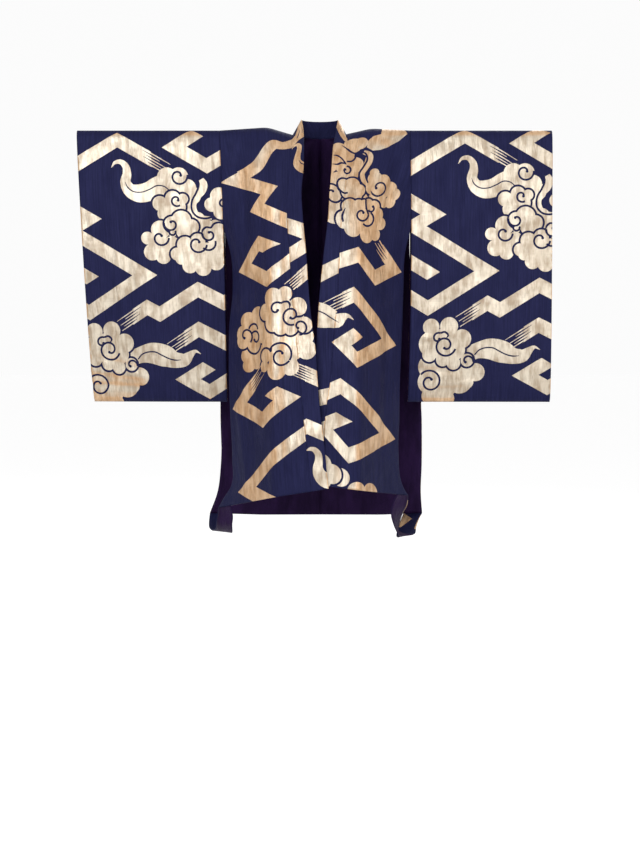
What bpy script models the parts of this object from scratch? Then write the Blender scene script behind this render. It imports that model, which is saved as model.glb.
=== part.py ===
"""A lined Japanese stage jacket: two straight body lengths, wide square sleeves and a collar band.

All sizes are in metres. +X is the wearer's left, +Y is behind the wearer and +Z is up.
The origin lies on the shoulder line at the middle of the neck, where the wearer carries the jacket.

Each body length is one piece of cloth, from the front hem over the shoulder to the back hem. It is
worked out as a row of sections, each with three stations across: the seam (collar seam in front,
centre seam behind), the long fold that stands off the figure, and the free outer edge.
Distances across (the x columns) are measured outward from the middle, so they are positive on both
sides, and a negative one lies past the middle.
"""
from collections import namedtuple
from math import sqrt

import bmesh
import bpy
from mathutils import Vector

# Driving sizes.
CLOTH = 0.0010              # brocade wall
LINING = 0.0010             # lining wall
SEAM_GAP = 0.0003           # between two pieces that are sewn together
COLLAR_GAP = 0.00045        # the same, where the collar turns up round the neck
ARMHOLE = 0.250             # sewn length of the armhole below the shoulder fold
STRIP_WIDTH = 0.053         # strip that joins the front and back hem corners

# Cells of the cloth grids.
CELLS_SEAM_TO_FOLD = 4
CELLS_FOLD_TO_EDGE = 4      # the last one is as wide as the strip
CELLS_SLEEVE = 7
CELLS_COLLAR = 3
CELLS_STRIP = 2

NAVY = (0.013, 0.015, 0.070, 1.0)
PURPLE = (0.032, 0.010, 0.055, 1.0)

Section = namedtuple("Section", "seam_x seam_y seam_z fold_x fold_y fold_z edge_x edge_y edge_z")
Edge = namedtuple("Edge", "x y z")
Hang = namedtuple("Hang", "drop half_gap")
Side = namedtuple("Side", "name sign armhole_x armhole_lean armhole_bend cuff_x cuff_lean swing swell")

RIGHT = Side("right", -1, 0.2675, -0.050, 0.030, 0.6470, -0.0553, 0.045, 0.012)
LEFT = Side("left", 1, 0.2390, 0.020, -0.038, 0.6173, -0.0110, -0.018, 0.009)

# Half of the sleeve's section at the armhole: how far the layers stand apart on the way down.
SLEEVE_HANG = [
    Hang(0.0000, 0.0000),
    Hang(0.0035, 0.0095),
    Hang(0.0130, 0.0165),
    Hang(0.0380, 0.0215),
    Hang(0.1000, 0.0260),
    Hang(0.1800, 0.0285),
    Hang(0.2500, 0.0300),
    Hang(0.3600, 0.0315),
    Hang(0.4800, 0.0310),
    Hang(0.6000, 0.0260),
    Hang(0.6700, 0.0190),
    Hang(0.7020, 0.0125),
    Hang(0.7165, 0.0070),
    Hang(0.7225, 0.0007),
]

# Sections of the wearer's right front, hem first, shoulder fold last.
# An edge above the armhole's end is taken from the sleeve, so its x and y are 0 here.
FRONT_RIGHT = [
    Section(0.0213, -0.235, -0.943, 0.1127, -0.208, -0.959, 0.2690, -0.030, -1.003),
    Section(0.0236, -0.233, -0.925, 0.1145, -0.206, -0.941, 0.2560, -0.038, -0.979),
    Section(0.0264, -0.230, -0.900, 0.1170, -0.203, -0.915, 0.2370, -0.048, -0.950),
    Section(0.0345, -0.223, -0.826, 0.1200, -0.196, -0.838, 0.2309, -0.055, -0.866),
    Section(0.0442, -0.212, -0.740, 0.1240, -0.187, -0.748, 0.2355, -0.052, -0.770),
    Section(0.0514, -0.200, -0.660, 0.1260, -0.178, -0.666, 0.2390, -0.048, -0.685),
    Section(0.0584, -0.190, -0.585, 0.1270, -0.170, -0.590, 0.2405, -0.045, -0.605),
    Section(0.0666, -0.175, -0.500, 0.1288, -0.160, -0.504, 0.2385, -0.041, -0.515),
    Section(0.0741, -0.165, -0.420, 0.1295, -0.152, -0.423, 0.2305, -0.038, -0.430),
    Section(0.0787, -0.155, -0.330, 0.1300, -0.140, -0.331, 0.2350, -0.034, -0.335),
    Section(0.0849, -0.140, -0.250, 0.1300, -0.122, -0.250, 0, 0, -0.250),
    Section(0.0856, -0.122, -0.195, 0.1310, -0.107, -0.195, 0, 0, -0.190),
    Section(0.0806, -0.100, -0.130, 0.1320, -0.080, -0.130, 0, 0, -0.130),
    Section(0.0775, -0.070, -0.070, 0.1340, -0.052, -0.068, 0, 0, -0.075),
    Section(0.0750, -0.045, -0.036, 0.1370, -0.034, -0.025, 0, 0, -0.035),
    Section(0.0735, -0.026, -0.020, 0.1390, -0.018, 0.000, 0, 0, -0.010),
    Section(0.0720, 0.000, -0.012, 0.1400, 0.004, 0.009, 0, 0, 0.000),
]
FRONT_LEFT = [
    Section(0.0040, -0.225, -0.929, 0.0974, -0.207, -0.942, 0.2334, -0.032, -0.970),
    Section(0.0050, -0.223, -0.915, 0.0974, -0.206, -0.927, 0.2230, -0.042, -0.954),
    Section(0.0063, -0.221, -0.895, 0.0975, -0.205, -0.906, 0.2140, -0.052, -0.933),
    Section(0.0088, -0.214, -0.826, 0.0978, -0.200, -0.834, 0.2060, -0.060, -0.856),
    Section(0.0152, -0.203, -0.740, 0.0980, -0.190, -0.747, 0.2085, -0.055, -0.765),
    Section(0.0266, -0.190, -0.660, 0.0983, -0.180, -0.666, 0.2095, -0.050, -0.682),
    Section(0.0323, -0.180, -0.585, 0.0983, -0.173, -0.590, 0.2130, -0.045, -0.604),
    Section(0.0403, -0.170, -0.500, 0.0983, -0.163, -0.504, 0.2170, -0.041, -0.515),
    Section(0.0460, -0.162, -0.420, 0.0983, -0.155, -0.423, 0.2200, -0.038, -0.430),
    Section(0.0508, -0.153, -0.330, 0.0985, -0.145, -0.331, 0.2240, -0.034, -0.335),
    Section(0.0553, -0.140, -0.250, 0.1000, -0.130, -0.250, 0, 0, -0.250),
    Section(0.0625, -0.123, -0.195, 0.1050, -0.113, -0.195, 0, 0, -0.190),
    Section(0.0689, -0.100, -0.130, 0.1130, -0.085, -0.130, 0, 0, -0.130),
    Section(0.0707, -0.070, -0.070, 0.1240, -0.055, -0.068, 0, 0, -0.075),
    Section(0.0705, -0.045, -0.034, 0.1300, -0.036, -0.025, 0, 0, -0.035),
    Section(0.0700, -0.026, -0.018, 0.1340, -0.018, -0.002, 0, 0, -0.010),
    Section(0.0690, 0.000, -0.010, 0.1370, 0.004, 0.006, 0, 0, 0.000),
]

# Sections of the back, from just behind the shoulder fold to the hem. The first three follow the
# neck, and from the fourth on the seam is the centre seam.
BACK = [
    Section(0.0650, 0.030, -0.010, 0.1410, 0.022, 0.004, 0, 0, -0.010),
    Section(0.0480, 0.056, -0.010, 0.1430, 0.045, -0.014, 0, 0, -0.035),
    Section(0.0250, 0.071, -0.011, 0.1460, 0.063, -0.040, 0, 0, -0.075),
    Section(0.0000, 0.078, -0.014, 0.1480, 0.075, -0.075, 0, 0, -0.110),
    Section(0.0000, 0.092, -0.060, 0.1500, 0.086, -0.120, 0, 0, -0.150),
    Section(0.0000, 0.106, -0.130, 0.1500, 0.097, -0.180, 0, 0, -0.200),
    Section(0.0000, 0.118, -0.210, 0.1500, 0.106, -0.240, 0, 0, -0.250),
    Section(0.0000, 0.127, -0.300, 0.1520, 0.114, -0.320, 0.2562, 0.048, -0.330),
    Section(0.0000, 0.134, -0.400, 0.1540, 0.121, -0.410, 0.2620, 0.062, -0.415),
    Section(0.0000, 0.142, -0.500, 0.1560, 0.128, -0.505, 0.2680, 0.078, -0.510),
    Section(0.0000, 0.158, -0.620, 0.1580, 0.142, -0.620, 0.2720, 0.097, -0.620),
    Section(0.0000, 0.174, -0.760, 0.1600, 0.157, -0.760, 0.2750, 0.115, -0.760),
    Section(0.0000, 0.184, -0.900, 0.1620, 0.167, -0.900, 0.2800, 0.130, -0.898),
    Section(0.0000, 0.188, -0.980, 0.1640, 0.172, -0.980, 0.2920, 0.137, -0.976),
    Section(0.0000, 0.190, -1.042, 0.1650, 0.175, -1.041, 0.3040, 0.142, -1.033),
]
# How much nearer the middle the free edge of each back is than in the table, section by section.
BACK_EDGE_NARROWER = {
    "right": (0.0, 0.0, 0.0, 0.0, 0.001, 0.007, 0.009, 0.0),
    "left": (0.0135, 0.010, 0.004, -0.003, -0.004, 0.0, 0.014, 0.022),
}

# The collar band's free edge, section by section beside the tables above.
LAPEL_RIGHT = [
    Edge(-0.0215, -0.238, -0.935),
    Edge(-0.0200, -0.236, -0.919),
    Edge(-0.0178, -0.234, -0.898),
    Edge(-0.0108, -0.228, -0.826),
    Edge(-0.0008, -0.218, -0.740),
    Edge(0.0063, -0.208, -0.660),
    Edge(0.0114, -0.200, -0.585),
    Edge(0.0230, -0.188, -0.500),
    Edge(0.0302, -0.178, -0.417),
    Edge(0.0364, -0.163, -0.324),
    Edge(0.0443, -0.138, -0.240),
    Edge(0.0480, -0.114, -0.180),
    Edge(0.0430, -0.085, -0.112),
    Edge(0.0420, -0.050, -0.050),
    Edge(0.0430, -0.020, -0.014),
    Edge(0.0455, -0.004, 0.012),
    Edge(0.0490, 0.012, 0.031),
]
LAPEL_LEFT = [
    Edge(-0.0420, -0.210, -0.929),
    Edge(-0.0410, -0.209, -0.915),
    Edge(-0.0400, -0.207, -0.895),
    Edge(-0.0365, -0.201, -0.826),
    Edge(-0.0300, -0.192, -0.740),
    Edge(-0.0194, -0.183, -0.660),
    Edge(-0.0110, -0.178, -0.585),
    Edge(-0.0056, -0.172, -0.500),
    Edge(0.0013, -0.166, -0.417),
    Edge(0.0110, -0.156, -0.324),
    Edge(0.0211, -0.137, -0.240),
    Edge(0.0245, -0.114, -0.180),
    Edge(0.0300, -0.085, -0.112),
    Edge(0.0345, -0.050, -0.050),
    Edge(0.0405, -0.020, -0.014),
    Edge(0.0440, -0.004, 0.010),
    Edge(0.0480, 0.012, 0.030),
]
COLLAR_BEHIND = [
    Edge(0.0490, 0.034, 0.034),
    Edge(0.0390, 0.051, 0.034),
    Edge(0.0210, 0.061, 0.034),
    Edge(0.0000, 0.065, 0.034),
]

# The middle line of each strip between the two hems, and how it turns: x and y of its width.
StripPoint = namedtuple("StripPoint", "x y z width_x width_y width_z")
STRIP_RIGHT = [
    StripPoint(0.2500, -0.046, -1.020, 0.80, 0.60, 0.00),
    StripPoint(0.2530, -0.036, -1.043, 0.83, 0.55, 0.04),
    StripPoint(0.2550, -0.012, -1.062, 0.87, 0.48, 0.08),
    StripPoint(0.2620, 0.030, -1.071, 0.96, 0.22, 0.10),
    StripPoint(0.2700, 0.070, -1.073, 0.98, 0.00, 0.08),
    StripPoint(0.2770, 0.102, -1.067, 0.98, -0.15, 0.06),
    StripPoint(0.2790, 0.128, -1.053, 0.97, -0.22, 0.05),
]
STRIP_LEFT = [
    StripPoint(0.2116, -0.048, -0.988, 0.73, 0.66, -0.16),
    StripPoint(0.2036, -0.035, -1.017, 0.63, 0.78, -0.03),
    StripPoint(0.2040, -0.013, -1.048, 0.32, 0.94, 0.05),
    StripPoint(0.2092, 0.011, -1.073, 0.07, 0.99, 0.08),
    StripPoint(0.2215, 0.035, -1.083, 0.40, 0.91, 0.04),
    StripPoint(0.2312, 0.0625, -1.085, 0.93, 0.36, 0.05),
    StripPoint(0.2376, 0.095, -1.069, 0.98, 0.18, 0.11),
    StripPoint(0.2480, 0.125, -1.0475, 0.98, 0.19, 0.07),
]


def between(first, last, share):
    """The point at that share of the way from first to last."""
    return first + (last - first) * share


def half_gap_at(drop):
    """Half of the space between the sleeve's layers at that drop below its top fold."""
    for above, below in zip(SLEEVE_HANG, SLEEVE_HANG[1:]):
        if drop <= below.drop:
            share = (drop - above.drop) / (below.drop - above.drop)
            return between(above.half_gap, below.half_gap, share)
    return SLEEVE_HANG[-1].half_gap


def armhole_x(side, drop):
    """Distance from the middle to the armhole seam at that drop."""
    return side.armhole_x + (side.armhole_lean + side.armhole_bend * drop) * drop


def armhole_edge(side, height, facing):
    """A body length's edge along the armhole. facing is -1 in front and 1 behind."""
    x = armhole_x(side, -height) - SEAM_GAP
    return Vector((side.sign * x, facing * half_gap_at(-height), height))


def section_points(side, section, facing):
    """The points across one section of a body length, from the seam to the outer edge."""
    seam_x = max(section.seam_x, SEAM_GAP / 2)
    seam = Vector((side.sign * seam_x, section.seam_y, section.seam_z))
    fold = Vector((side.sign * section.fold_x, section.fold_y, section.fold_z))
    if section.edge_z < -ARMHOLE:
        edge = Vector((side.sign * section.edge_x, section.edge_y, section.edge_z))
    else:
        edge = armhole_edge(side, section.edge_z, facing)
    points = [between(seam, fold, k / CELLS_SEAM_TO_FOLD) for k in range(CELLS_SEAM_TO_FOLD)]
    last_cell = 1 - STRIP_WIDTH / (edge - fold).length
    wide_cells = CELLS_FOLD_TO_EDGE - 1
    points += [between(fold, edge, last_cell * k / wide_cells) for k in range(wide_cells + 1)]
    points.append(edge)
    return points


def body_grid(side):
    """Points of a body length: a row for each section, from the front hem to the back hem."""
    front = {"right": FRONT_RIGHT, "left": FRONT_LEFT}[side.name]
    rows = [section_points(side, section, -1) for section in front]
    first_free = len(BACK) - len(BACK_EDGE_NARROWER[side.name])
    for number, section in enumerate(BACK):
        if number >= first_free:
            narrower = BACK_EDGE_NARROWER[side.name][number - first_free]
            section = section._replace(edge_x=section.edge_x - narrower)
        rows.append(section_points(side, section, 1))
    return rows


def sleeve_point(side, across, hang, facing):
    """A point of a sleeve. across runs from 0 at the armhole to 1 at the cuff."""
    inner = armhole_x(side, hang.drop)
    cuff = side.cuff_x + side.cuff_lean * hang.drop
    low = (hang.drop / SLEEVE_HANG[-1].drop) ** 2
    swing = side.swing * low * across ** 2
    swell = facing * side.swell * 4 * across * (1 - across) * sqrt(low) * (1 - low)
    x = side.sign * between(inner, cuff, across)
    return Vector((x, facing * hang.half_gap + swing + swell, -hang.drop))


def sleeve_grid(side):
    """Points of a sleeve: down its front layer's length from the bottom up, over, and down behind."""
    around = [(hang, -1) for hang in reversed(SLEEVE_HANG)] + [(hang, 1) for hang in SLEEVE_HANG[1:]]
    across = [k / CELLS_SLEEVE for k in range(CELLS_SLEEVE + 1)]
    return [[sleeve_point(side, share, hang, facing) for share in across] for hang, facing in around]


def collar_rows(body, normals, lapel, side):
    """Half of the collar band, hem first. Its seam edge lies beside the body length's edge."""
    rows = []
    row_normals = []
    edges = lapel + COLLAR_BEHIND[:-1]
    for number, edge in enumerate(edges):
        free_edge = Vector((side.sign * edge.x, edge.y, edge.z))
        seam = body[number][0]
        along_seam = body[number + 1][0] - body[max(number - 1, 0)][0]
        off_panel = along_seam.cross(normals[number][0]).normalized() * -side.sign
        start = seam + off_panel * COLLAR_GAP
        rows.append([between(start, free_edge, k / CELLS_COLLAR) for k in range(CELLS_COLLAR + 1)])
        row_normals.append(normals[number][0])
    return rows, row_normals


def collar_grid(bodies, body_normals):
    """Points of the whole collar band, from the right hem round the neck to the left hem."""
    right, right_normals = collar_rows(bodies["right"], body_normals["right"], LAPEL_RIGHT, RIGHT)
    left, left_normals = collar_rows(bodies["left"], body_normals["left"], LAPEL_LEFT, LEFT)
    behind = COLLAR_BEHIND[-1]
    nape = bodies["right"][len(right)][0].copy()
    nape.x = 0.0
    start = nape + Vector((0, -COLLAR_GAP, COLLAR_GAP))
    top = Vector((behind.x, behind.y, behind.z))
    middle = [between(start, top, k / CELLS_COLLAR) for k in range(CELLS_COLLAR + 1)]
    nape_normal = body_normals["right"][len(right)][0]
    rows = right + [middle] + left[::-1]
    return rows, right_normals + [nape_normal] + left_normals[::-1]


def strip_end(body, normals, hem_row, next_row):
    """The strip's row beside a hem corner, with the hem's own directions turned inside out."""
    shares = [k / CELLS_STRIP for k in range(CELLS_STRIP + 1)]
    onward = (body[hem_row][-1] - body[next_row][-1]).normalized() * SEAM_GAP
    points = [between(body[hem_row][-2], body[hem_row][-1], share) + onward for share in shares]
    first = normals[hem_row][-2]
    last = normals[hem_row][-1]
    return points, [-between(first, last, share).normalized() for share in shares]


def strip_grid(side, body, body_normals):
    """Points and directions of a strip, from the front hem's corner down and up to the back hem's."""
    table = {"right": STRIP_RIGHT, "left": STRIP_LEFT}[side.name]
    shares = [k / CELLS_STRIP for k in range(CELLS_STRIP + 1)]
    first, first_normals = strip_end(body, body_normals, 0, 1)
    last, last_normals = strip_end(body, body_normals, -1, -2)
    rows = [first]
    for point in table:
        middle = Vector((side.sign * point.x, point.y, point.z))
        turn = Vector((side.sign * point.width_x, point.width_y, point.width_z)).normalized()
        rows.append([middle + turn * STRIP_WIDTH * (share - 0.5) for share in shares])
    rows.append(last)
    normals = grid_normals(rows, -side.sign)
    normals[0] = first_normals
    normals[-1] = last_normals
    return rows, normals


def grid_normals(rows, sign, flat_columns=()):
    """Outward directions at a grid's points. In a flat column they stay square to the X axis."""
    last_row = len(rows) - 1
    last_column = len(rows[0]) - 1
    normals = []
    for r in range(last_row + 1):
        normals.append([])
        for c in range(last_column + 1):
            along = rows[min(r + 1, last_row)][c] - rows[max(r - 1, 0)][c]
            over = rows[r][min(c + 1, last_column)] - rows[r][max(c - 1, 0)]
            normal = along.cross(over) * sign
            if c in flat_columns:
                normal.x = 0.0
            normals[r].append(normal.normalized())
    return normals


def cloth_wall(name, rows, normals, outer, inner, material, collection):
    """A closed wall on a grid of points, from outer to inner along the outward directions."""
    cells_along = len(rows) - 1
    cells_over = len(rows[0]) - 1
    mesh = bpy.data.meshes.new(name)
    bm = bmesh.new()
    bmesh.ops.create_grid(bm, x_segments=cells_over, y_segments=cells_along, size=0.5)
    extruded = bmesh.ops.extrude_face_region(bm, geom=bm.faces[:])
    raised = [item for item in extruded["geom"] if isinstance(item, bmesh.types.BMVert)]
    bmesh.ops.translate(bm, verts=raised, vec=(0, 0, 1))
    place = {}
    for vert in bm.verts:
        column = round((vert.co.x + 0.5) * cells_over)
        row = round((vert.co.y + 0.5) * cells_along)
        place[vert] = (row, column, vert.co.z > 0.5)
    for face in bm.faces[:]:
        corners = {place[vert]: vert for vert in face.verts}
        ordered = sorted(corners)
        bmesh.utils.face_split(face, corners[ordered[0]], corners[ordered[-1]])
    for vert, (row, column, is_outer) in place.items():
        depth = outer if is_outer else inner
        vert.co = rows[row][column] + normals[row][column] * depth
    bmesh.ops.recalc_face_normals(bm, faces=bm.faces[:])
    if bm.calc_volume(signed=True) < 0:
        bmesh.ops.reverse_faces(bm, faces=bm.faces[:])
    bm.to_mesh(mesh)
    bm.free()
    mesh.materials.append(material)
    piece = bpy.data.objects.new(name, mesh)
    collection.objects.link(piece)
    return piece


def lined_piece(name, rows, normals, cloth, lining, collection, lining_rows=slice(None)):
    """A brocade wall and, under it, its lining on the same points."""
    cloth_wall(name, rows, normals, CLOTH / 2, -CLOTH / 2, cloth, collection)
    top = -CLOTH / 2 - SEAM_GAP
    short_rows = rows[lining_rows]
    short_normals = normals[lining_rows]
    cloth_wall("lining_" + name, short_rows, short_normals, top, top - LINING, lining, collection)


def make_material(name, color, roughness, metallic):
    """A plain Principled material."""
    material = bpy.data.materials.new(name)
    material.use_nodes = True
    shader = material.node_tree.nodes["Principled BSDF"]
    shader.inputs["Base Color"].default_value = color
    shader.inputs["Roughness"].default_value = roughness
    shader.inputs["Metallic"].default_value = metallic
    return material


def main():
    """Clear the scene and build every piece of the jacket."""
    for old in list(bpy.data.objects):
        bpy.data.objects.remove(old, do_unlink=True)
    collection = bpy.data.collections.new("haori_jacket")
    bpy.context.scene.collection.children.link(collection)
    brocade = make_material("brocade", NAVY, 0.6, 0.1)
    lining = make_material("lining_silk", PURPLE, 0.5, 0.0)

    bodies = {}
    body_normals = {}
    outer_column = CELLS_SEAM_TO_FOLD + CELLS_FOLD_TO_EDGE
    for side in (RIGHT, LEFT):
        body = body_grid(side)
        normals = grid_normals(body, -side.sign, (outer_column,))
        centre_rows = range(len(body) - len(BACK) + 3, len(body))
        for row in centre_rows:
            normals[row][0].x = 0.0
            normals[row][0].normalize()
        bodies[side.name] = body
        body_normals[side.name] = normals
        lined_piece("body_" + side.name, body, normals, brocade, lining, collection)

        sleeve = sleeve_grid(side)
        normals = grid_normals(sleeve, -side.sign, (0,))
        lining_rows = slice(1, len(sleeve) - 1)
        lined_piece("sleeve_" + side.name, sleeve, normals, brocade, lining, collection, lining_rows)

        strip, normals = strip_grid(side, body, body_normals[side.name])
        lined_piece("strip_" + side.name, strip, normals, brocade, lining, collection)

    collar, seam_normals = collar_grid(bodies, body_normals)
    normals = grid_normals(collar, -1)
    for row, seam_normal in enumerate(seam_normals):
        normals[row][0] = seam_normal
    band_inner = -CLOTH / 2 - SEAM_GAP - LINING
    cloth_wall("collar_band", collar, normals, CLOTH / 2, band_inner, brocade, collection)


main()
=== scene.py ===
"""A lined stage jacket of dark silk with gilt clouds and lightning, hanging open as it is worn.

All sizes are in metres. +X is the wearer's left, +Y is behind the wearer and +Z is up.
Each cut piece is flat cloth, s metres across and t metres along, that a form places in space.
On the fronts and sleeves s runs the way +X does, and t runs down from the shoulder. It is negative
behind. The figures are charted on that flat cloth, in millimetres.
"""
from collections import namedtuple
from math import pi, radians

import bmesh
import bpy
import numpy as np
from bpy.props import FloatProperty, FloatVectorProperty, PointerProperty
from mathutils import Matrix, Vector
from mathutils.geometry import delaunay_2d_cdt
from mathutils.kdtree import KDTree


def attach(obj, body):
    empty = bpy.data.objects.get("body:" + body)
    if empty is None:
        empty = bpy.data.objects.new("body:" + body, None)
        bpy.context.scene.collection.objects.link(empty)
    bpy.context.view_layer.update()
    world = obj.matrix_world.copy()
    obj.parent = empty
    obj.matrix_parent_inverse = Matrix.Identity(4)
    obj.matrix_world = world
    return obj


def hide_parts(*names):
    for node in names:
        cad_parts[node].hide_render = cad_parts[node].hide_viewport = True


bl_info = {
    "name": "Lined Stage Jacket",
    "version": (1, 0, 0),
    "blender": (4, 5, 0),
    "location": "View3D > Sidebar > Jacket",
    "description": "Builds the cloth, lining and woven figures of a stage jacket",
    "category": "Add Mesh",
}

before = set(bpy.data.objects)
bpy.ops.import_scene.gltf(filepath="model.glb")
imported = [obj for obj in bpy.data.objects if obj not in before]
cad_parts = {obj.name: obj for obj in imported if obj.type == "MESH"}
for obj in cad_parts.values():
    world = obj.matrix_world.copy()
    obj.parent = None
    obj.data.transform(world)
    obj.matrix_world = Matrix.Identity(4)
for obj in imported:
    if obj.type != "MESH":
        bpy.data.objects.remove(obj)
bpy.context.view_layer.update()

# How the garment is made.
CLOTH = 0.0010              # thickness of the brocade
LINING = 0.0010             # thickness of the lining
SEAM_GAP = 0.0003           # between two pieces that are sewn together
ARMHOLE = 0.250             # sewn length of the armhole below the shoulder fold
STRIP_WIDTH = 0.053         # strip that joins the front and back hem corners
PIPING = 0.003              # brocade that shows beside a strip's lining
LAP = 0.0025                # how far a body's lining runs on under its neighbours
BAND_WALL = 0.0023          # the collar band is folded double
BAND_EDGE_THINNER = 0.0007  # how much lower the band's face lies at its two edges
BAND_EDGE_SHARPNESS = 5     # how near the edge the face begins to fall: 1 is at the middle
BAND_BACK_GAP = 0.0004      # left free behind the band, inside its wall
FOLD_SOFTNESS = 0.016       # how far from its middle the long fold is rounded
SEAM_REACH = 0.030          # how far from a seam the creases reach their full height
SHOULDER_REACH = 0.300      # cloth each way from the shoulder whose edge never rises above it
WELD = SEAM_GAP * 1.4       # points of the collar's halves this near to each other become one
MM = 0.001

# How finely it is worked out.
COLLAR_CELL = 0.0035        # size of the mesh's cells on the collar
STRIP_CELL = 0.004          # and on the strips
PROFILE_POINTS = 900        # points along the sleeve's section
PROBE = 0.0015              # distance to the neighbours that a facing is read from
SIZE_ROWS = 400             # places along a piece where its width is measured


def table(kind, rows):
    """Rows of numbers under the names of their columns."""
    return [kind(*row) for row in rows]


Section = namedtuple("Section", "seam_x seam_y seam_z fold_x fold_y fold_z edge_x edge_y edge_z")
Edge = namedtuple("Edge", "x y z")
Hang = namedtuple("Hang", "drop half_gap")
Side = namedtuple("Side", "name sign armhole_x armhole_lean armhole_bend cuff_x cuff_lean swing swell")
Crease = namedtuple("Crease", "s t run_s run_t width depth")

RIGHT = Side("right", -1, 0.2675, -0.050, 0.030, 0.6470, -0.0553, 0.045, 0.012)
LEFT = Side("left", 1, 0.2390, 0.020, -0.038, 0.6173, -0.0110, -0.018, 0.009)

# Half of the sleeve's section at the armhole: how far the layers stand apart on the way down.
SLEEVE_HANG = table(Hang, [
    (0.0000, 0.0000),
    (0.0035, 0.0095),
    (0.0130, 0.0165),
    (0.0380, 0.0215),
    (0.1000, 0.0260),
    (0.1800, 0.0285),
    (0.2500, 0.0300),
    (0.3600, 0.0315),
    (0.4800, 0.0310),
    (0.6000, 0.0260),
    (0.6700, 0.0190),
    (0.7020, 0.0125),
    (0.7165, 0.0070),
    (0.7225, 0.0007),
])

# Sections of the wearer's right front, hem first, shoulder fold last.
# An edge above the armhole's end is taken from the sleeve, so its x and y are 0 here.
SEAM, FOLD, EDGE = slice(0, 3), slice(3, 6), slice(6, 9)    # columns of a section's three points
EDGE_XY, EDGE_Z, ALL_X = slice(6, 8), 8, (0, 3, 6)
FRONT_RIGHT = table(Section, [
    (0.0213, -0.235, -0.943, 0.1127, -0.208, -0.959, 0.2690, -0.030, -1.003),
    (0.0236, -0.233, -0.925, 0.1145, -0.206, -0.941, 0.2560, -0.038, -0.979),
    (0.0264, -0.230, -0.900, 0.1170, -0.203, -0.915, 0.2370, -0.048, -0.950),
    (0.0345, -0.223, -0.826, 0.1200, -0.196, -0.838, 0.2309, -0.055, -0.866),
    (0.0442, -0.212, -0.740, 0.1240, -0.187, -0.748, 0.2355, -0.052, -0.770),
    (0.0514, -0.200, -0.660, 0.1260, -0.178, -0.666, 0.2390, -0.048, -0.685),
    (0.0584, -0.190, -0.585, 0.1270, -0.170, -0.590, 0.2405, -0.045, -0.605),
    (0.0666, -0.175, -0.500, 0.1288, -0.160, -0.504, 0.2385, -0.041, -0.515),
    (0.0741, -0.165, -0.420, 0.1295, -0.152, -0.423, 0.2305, -0.038, -0.430),
    (0.0787, -0.155, -0.330, 0.1300, -0.140, -0.331, 0.2350, -0.034, -0.335),
    (0.0849, -0.140, -0.250, 0.1300, -0.122, -0.250, 0, 0, -0.250),
    (0.0856, -0.122, -0.195, 0.1310, -0.107, -0.195, 0, 0, -0.190),
    (0.0806, -0.100, -0.130, 0.1320, -0.080, -0.130, 0, 0, -0.130),
    (0.0775, -0.070, -0.070, 0.1340, -0.052, -0.068, 0, 0, -0.075),
    (0.0750, -0.045, -0.036, 0.1370, -0.034, -0.025, 0, 0, -0.035),
    (0.0735, -0.026, -0.020, 0.1390, -0.018, 0.000, 0, 0, -0.010),
    (0.0720, 0.000, -0.012, 0.1400, 0.004, 0.009, 0, 0, 0.000),
])
FRONT_LEFT = table(Section, [
    (0.0040, -0.225, -0.929, 0.0974, -0.207, -0.942, 0.2334, -0.032, -0.970),
    (0.0050, -0.223, -0.915, 0.0974, -0.206, -0.927, 0.2230, -0.042, -0.954),
    (0.0063, -0.221, -0.895, 0.0975, -0.205, -0.906, 0.2140, -0.052, -0.933),
    (0.0088, -0.214, -0.826, 0.0978, -0.200, -0.834, 0.2060, -0.060, -0.856),
    (0.0152, -0.203, -0.740, 0.0980, -0.190, -0.747, 0.2085, -0.055, -0.765),
    (0.0266, -0.190, -0.660, 0.0983, -0.180, -0.666, 0.2095, -0.050, -0.682),
    (0.0323, -0.180, -0.585, 0.0983, -0.173, -0.590, 0.2130, -0.045, -0.604),
    (0.0403, -0.170, -0.500, 0.0983, -0.163, -0.504, 0.2170, -0.041, -0.515),
    (0.0460, -0.162, -0.420, 0.0983, -0.155, -0.423, 0.2200, -0.038, -0.430),
    (0.0508, -0.153, -0.330, 0.0985, -0.145, -0.331, 0.2240, -0.034, -0.335),
    (0.0553, -0.140, -0.250, 0.1000, -0.130, -0.250, 0, 0, -0.250),
    (0.0625, -0.123, -0.195, 0.1050, -0.113, -0.195, 0, 0, -0.190),
    (0.0689, -0.100, -0.130, 0.1130, -0.085, -0.130, 0, 0, -0.130),
    (0.0707, -0.070, -0.070, 0.1240, -0.055, -0.068, 0, 0, -0.075),
    (0.0705, -0.045, -0.034, 0.1300, -0.036, -0.025, 0, 0, -0.035),
    (0.0700, -0.026, -0.018, 0.1340, -0.018, -0.002, 0, 0, -0.010),
    (0.0690, 0.000, -0.010, 0.1370, 0.004, 0.006, 0, 0, 0.000),
])

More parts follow.
